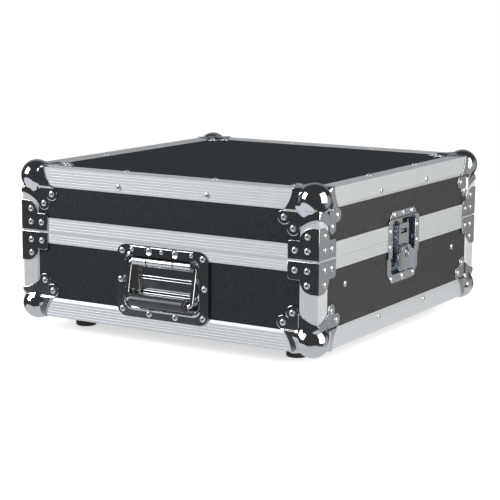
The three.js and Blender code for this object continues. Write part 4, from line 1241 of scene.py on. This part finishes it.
# Zones of the room that metal sees: direction of the middle, cosines between which the zone fades, levels
LOW_LEFT = (-0.47, -0.377, -0.8), 0.73, 0.785, 0.045, 0.76
BEHIND = (0.76, 0.64, -0.1), 0.8, 0.94, 0.045, 0.37
FAR = (-0.5, 0.84, 0.2), 0.7, 0.95, 0, 0.21

# Levels that fade between two heights over the horizon
BEHIND_DIMMING = (0, 0.4, 1, 0.2)
MATT_FADE = (-0.1, 0.7, 0.5, 0.36)

# Lights and camera
LIGHT_TARGET = (0, 0, 0.14)
CAMERA_PLACE = (1.2808, -2.1365 + MIDDLE_Y, 0.5239 + UNDERSIDE)
CAMERA_AIM = (-0.50992, 0.84254, -0.17352)
CAMERA_ROLL = 0.396
CAMERA_LENS = 112.9


def stage_plane(name, half_size, height, material):
    bm = bmesh.new()
    corners = [(-1, -1), (1, -1), (1, 1), (-1, 1)]
    bm.faces.new([bm.verts.new((a * half_size, b * half_size, height)) for a, b in corners])
    obj = add_mesh(name, bm, material)
    return obj


def feed(tree, socket, value):
    if isinstance(value, (int, float)):
        socket.default_value = value
    else:
        tree.links.new(value, socket)


def math_node(tree, operation, first, second):
    node = add(tree, "Math")
    node.operation = operation
    feed(tree, node.inputs[0], first)
    feed(tree, node.inputs[1], second)
    return node.outputs[0]


def toward(tree, source, direction):
    node = add(tree, "VectorMath")
    node.operation = "DOT_PRODUCT"
    node.inputs[1].default_value = direction
    tree.links.new(source, node.inputs[0])
    return node.outputs["Value"]


def zone(tree, source, middle, *fade):
    return span(tree, toward(tree, source, middle), *fade)


def mixed(tree, factor, first, second):
    mix = add(tree, "MixShader")
    for socket, source in zip(mix.inputs, (factor, first, second)):
        tree.links.new(source, socket)
    return mix.outputs[0]


def glow(tree, kind, color, strength):
    node = add(tree, kind)
    node.inputs["Color"].default_value = (*color, 1)
    feed(tree, node.inputs["Strength"], strength)
    return node.outputs[0]


def studio_floor():
    """White to the camera where no shadow falls. Metal sees a narrow card round the case in its place."""
    material, tree, shader = new_material("studio_floor", (0.88, 0.88, 0.88), 0, 0.9)
    path = add(tree, "LightPath")
    shader.inputs["Emission Color"].default_value = (*WHITE, 1)
    lift = math_node(tree, "MULTIPLY", path.outputs["Is Camera Ray"], FLOOR_LIFT)
    tree.links.new(lift, shader.inputs["Emission Strength"])
    floor = stage_plane("floor", FLOOR_HALF, 0, material)
    floor.visible_glossy = False
    card = stage_plane("floor_card", CARD_HALF, -CARD_DROP, card_material())
    card.visible_camera = False
    card.visible_diffuse = False
    card.visible_shadow = False


def card_material():
    """Glow that fades with the distance from the case's sides."""
    material = bpy.data.materials.new("floor_card")
    material.use_nodes = True
    tree = material.node_tree
    tree.nodes.clear()
    parts = add(tree, "SeparateXYZ")
    tree.links.new(add(tree, "TexCoord").outputs["Object"], parts.inputs[0])
    beyond = []
    for axis, half in (("X", HALF_WIDTH), ("Y", HALF_DEPTH)):
        distance = math_node(tree, "ABSOLUTE", parts.outputs[axis], 0)
        beyond.append(math_node(tree, "SUBTRACT", distance, half * MM))
    card = glow(tree, "Emission", CARD_COLOR, CARD_GLOW)
    clear = add(tree, "BsdfTransparent").outputs[0]
    fade = span(tree, math_node(tree, "MAXIMUM", *beyond), *CARD_FADE, 0, 1)
    tree.links.new(mixed(tree, fade, card, clear), add(tree, "OutputMaterial").inputs["Surface"])
    return material


def world():
    """White to the camera and even for matt surfaces. Metal sees a dark room with three lighter zones."""
    studio = bpy.data.worlds.new("studio")
    studio.use_nodes = True
    bpy.context.scene.world = studio
    tree = studio.node_tree
    tree.nodes.clear()
    path = add(tree, "LightPath")
    direction = add(tree, "TexCoord").outputs["Generated"]
    height = toward(tree, direction, Z)
    dimmed = span(tree, height, *BEHIND_DIMMING)
    behind = math_node(tree, "MULTIPLY", zone(tree, direction, *BEHIND), dimmed)
    room = math_node(tree, "MAXIMUM", zone(tree, direction, *LOW_LEFT), behind)
    room = math_node(tree, "ADD", room, zone(tree, direction, *FAR))
    matt = glow(tree, "Background", WHITE, span(tree, height, *MATT_FADE))
    metal = glow(tree, "Background", ROOM_COLOR, room)
    surface = mixed(tree, path.outputs["Is Glossy Ray"], matt, metal)
    surface = mixed(tree, path.outputs["Is Camera Ray"], surface, glow(tree, "Background", WHITE, 1))
    tree.links.new(surface, add(tree, "OutputWorld").inputs["Surface"])


def softbox(name, direction, distance, size, power, color):
    data = bpy.data.lights.new(name, "AREA")
    data.shape = "RECTANGLE"
    data.size, data.size_y = size
    data.energy = power
    data.color = color
    light = add_object(name, data)
    out = Vector(direction).normalized()
    light.location = Vector(LIGHT_TARGET) + out * distance
    light.rotation_euler = (-out).to_track_quat("-Z", "Y").to_euler()
    return light


def camera():
    forward = Vector(CAMERA_AIM).normalized()
    right = forward.cross(Vector(Z)).normalized()
    roll = math.radians(CAMERA_ROLL)
    right = right * math.cos(roll) + right.cross(forward) * math.sin(roll)
    data = bpy.data.cameras.new("camera")
    data.lens = CAMERA_LENS
    data.clip_end = 100
    obj = add_object("camera", data)
    obj.matrix_world = from_axes((right, right.cross(forward), -forward), CAMERA_PLACE)
    bpy.context.scene.camera = obj


studio_floor()
world()
softbox("softbox_left", (-0.6735, -0.6066, 0.4226), 5, (2.45, 2.87), 160, (0.95, 0.98, 1))
softbox("softbox_right", (0.956, 0, 0.295), 2.3, (1.6, 2.15), 43, (1, 0.98, 0.95))
fill = softbox("fill_front", (0.35, -1, 0.08), 3, (2.4, 1.4), 14, (0.97, 0.99, 1))
fill.visible_glossy = False
camera()
bpy.context.scene.view_settings.view_transform = "Standard"
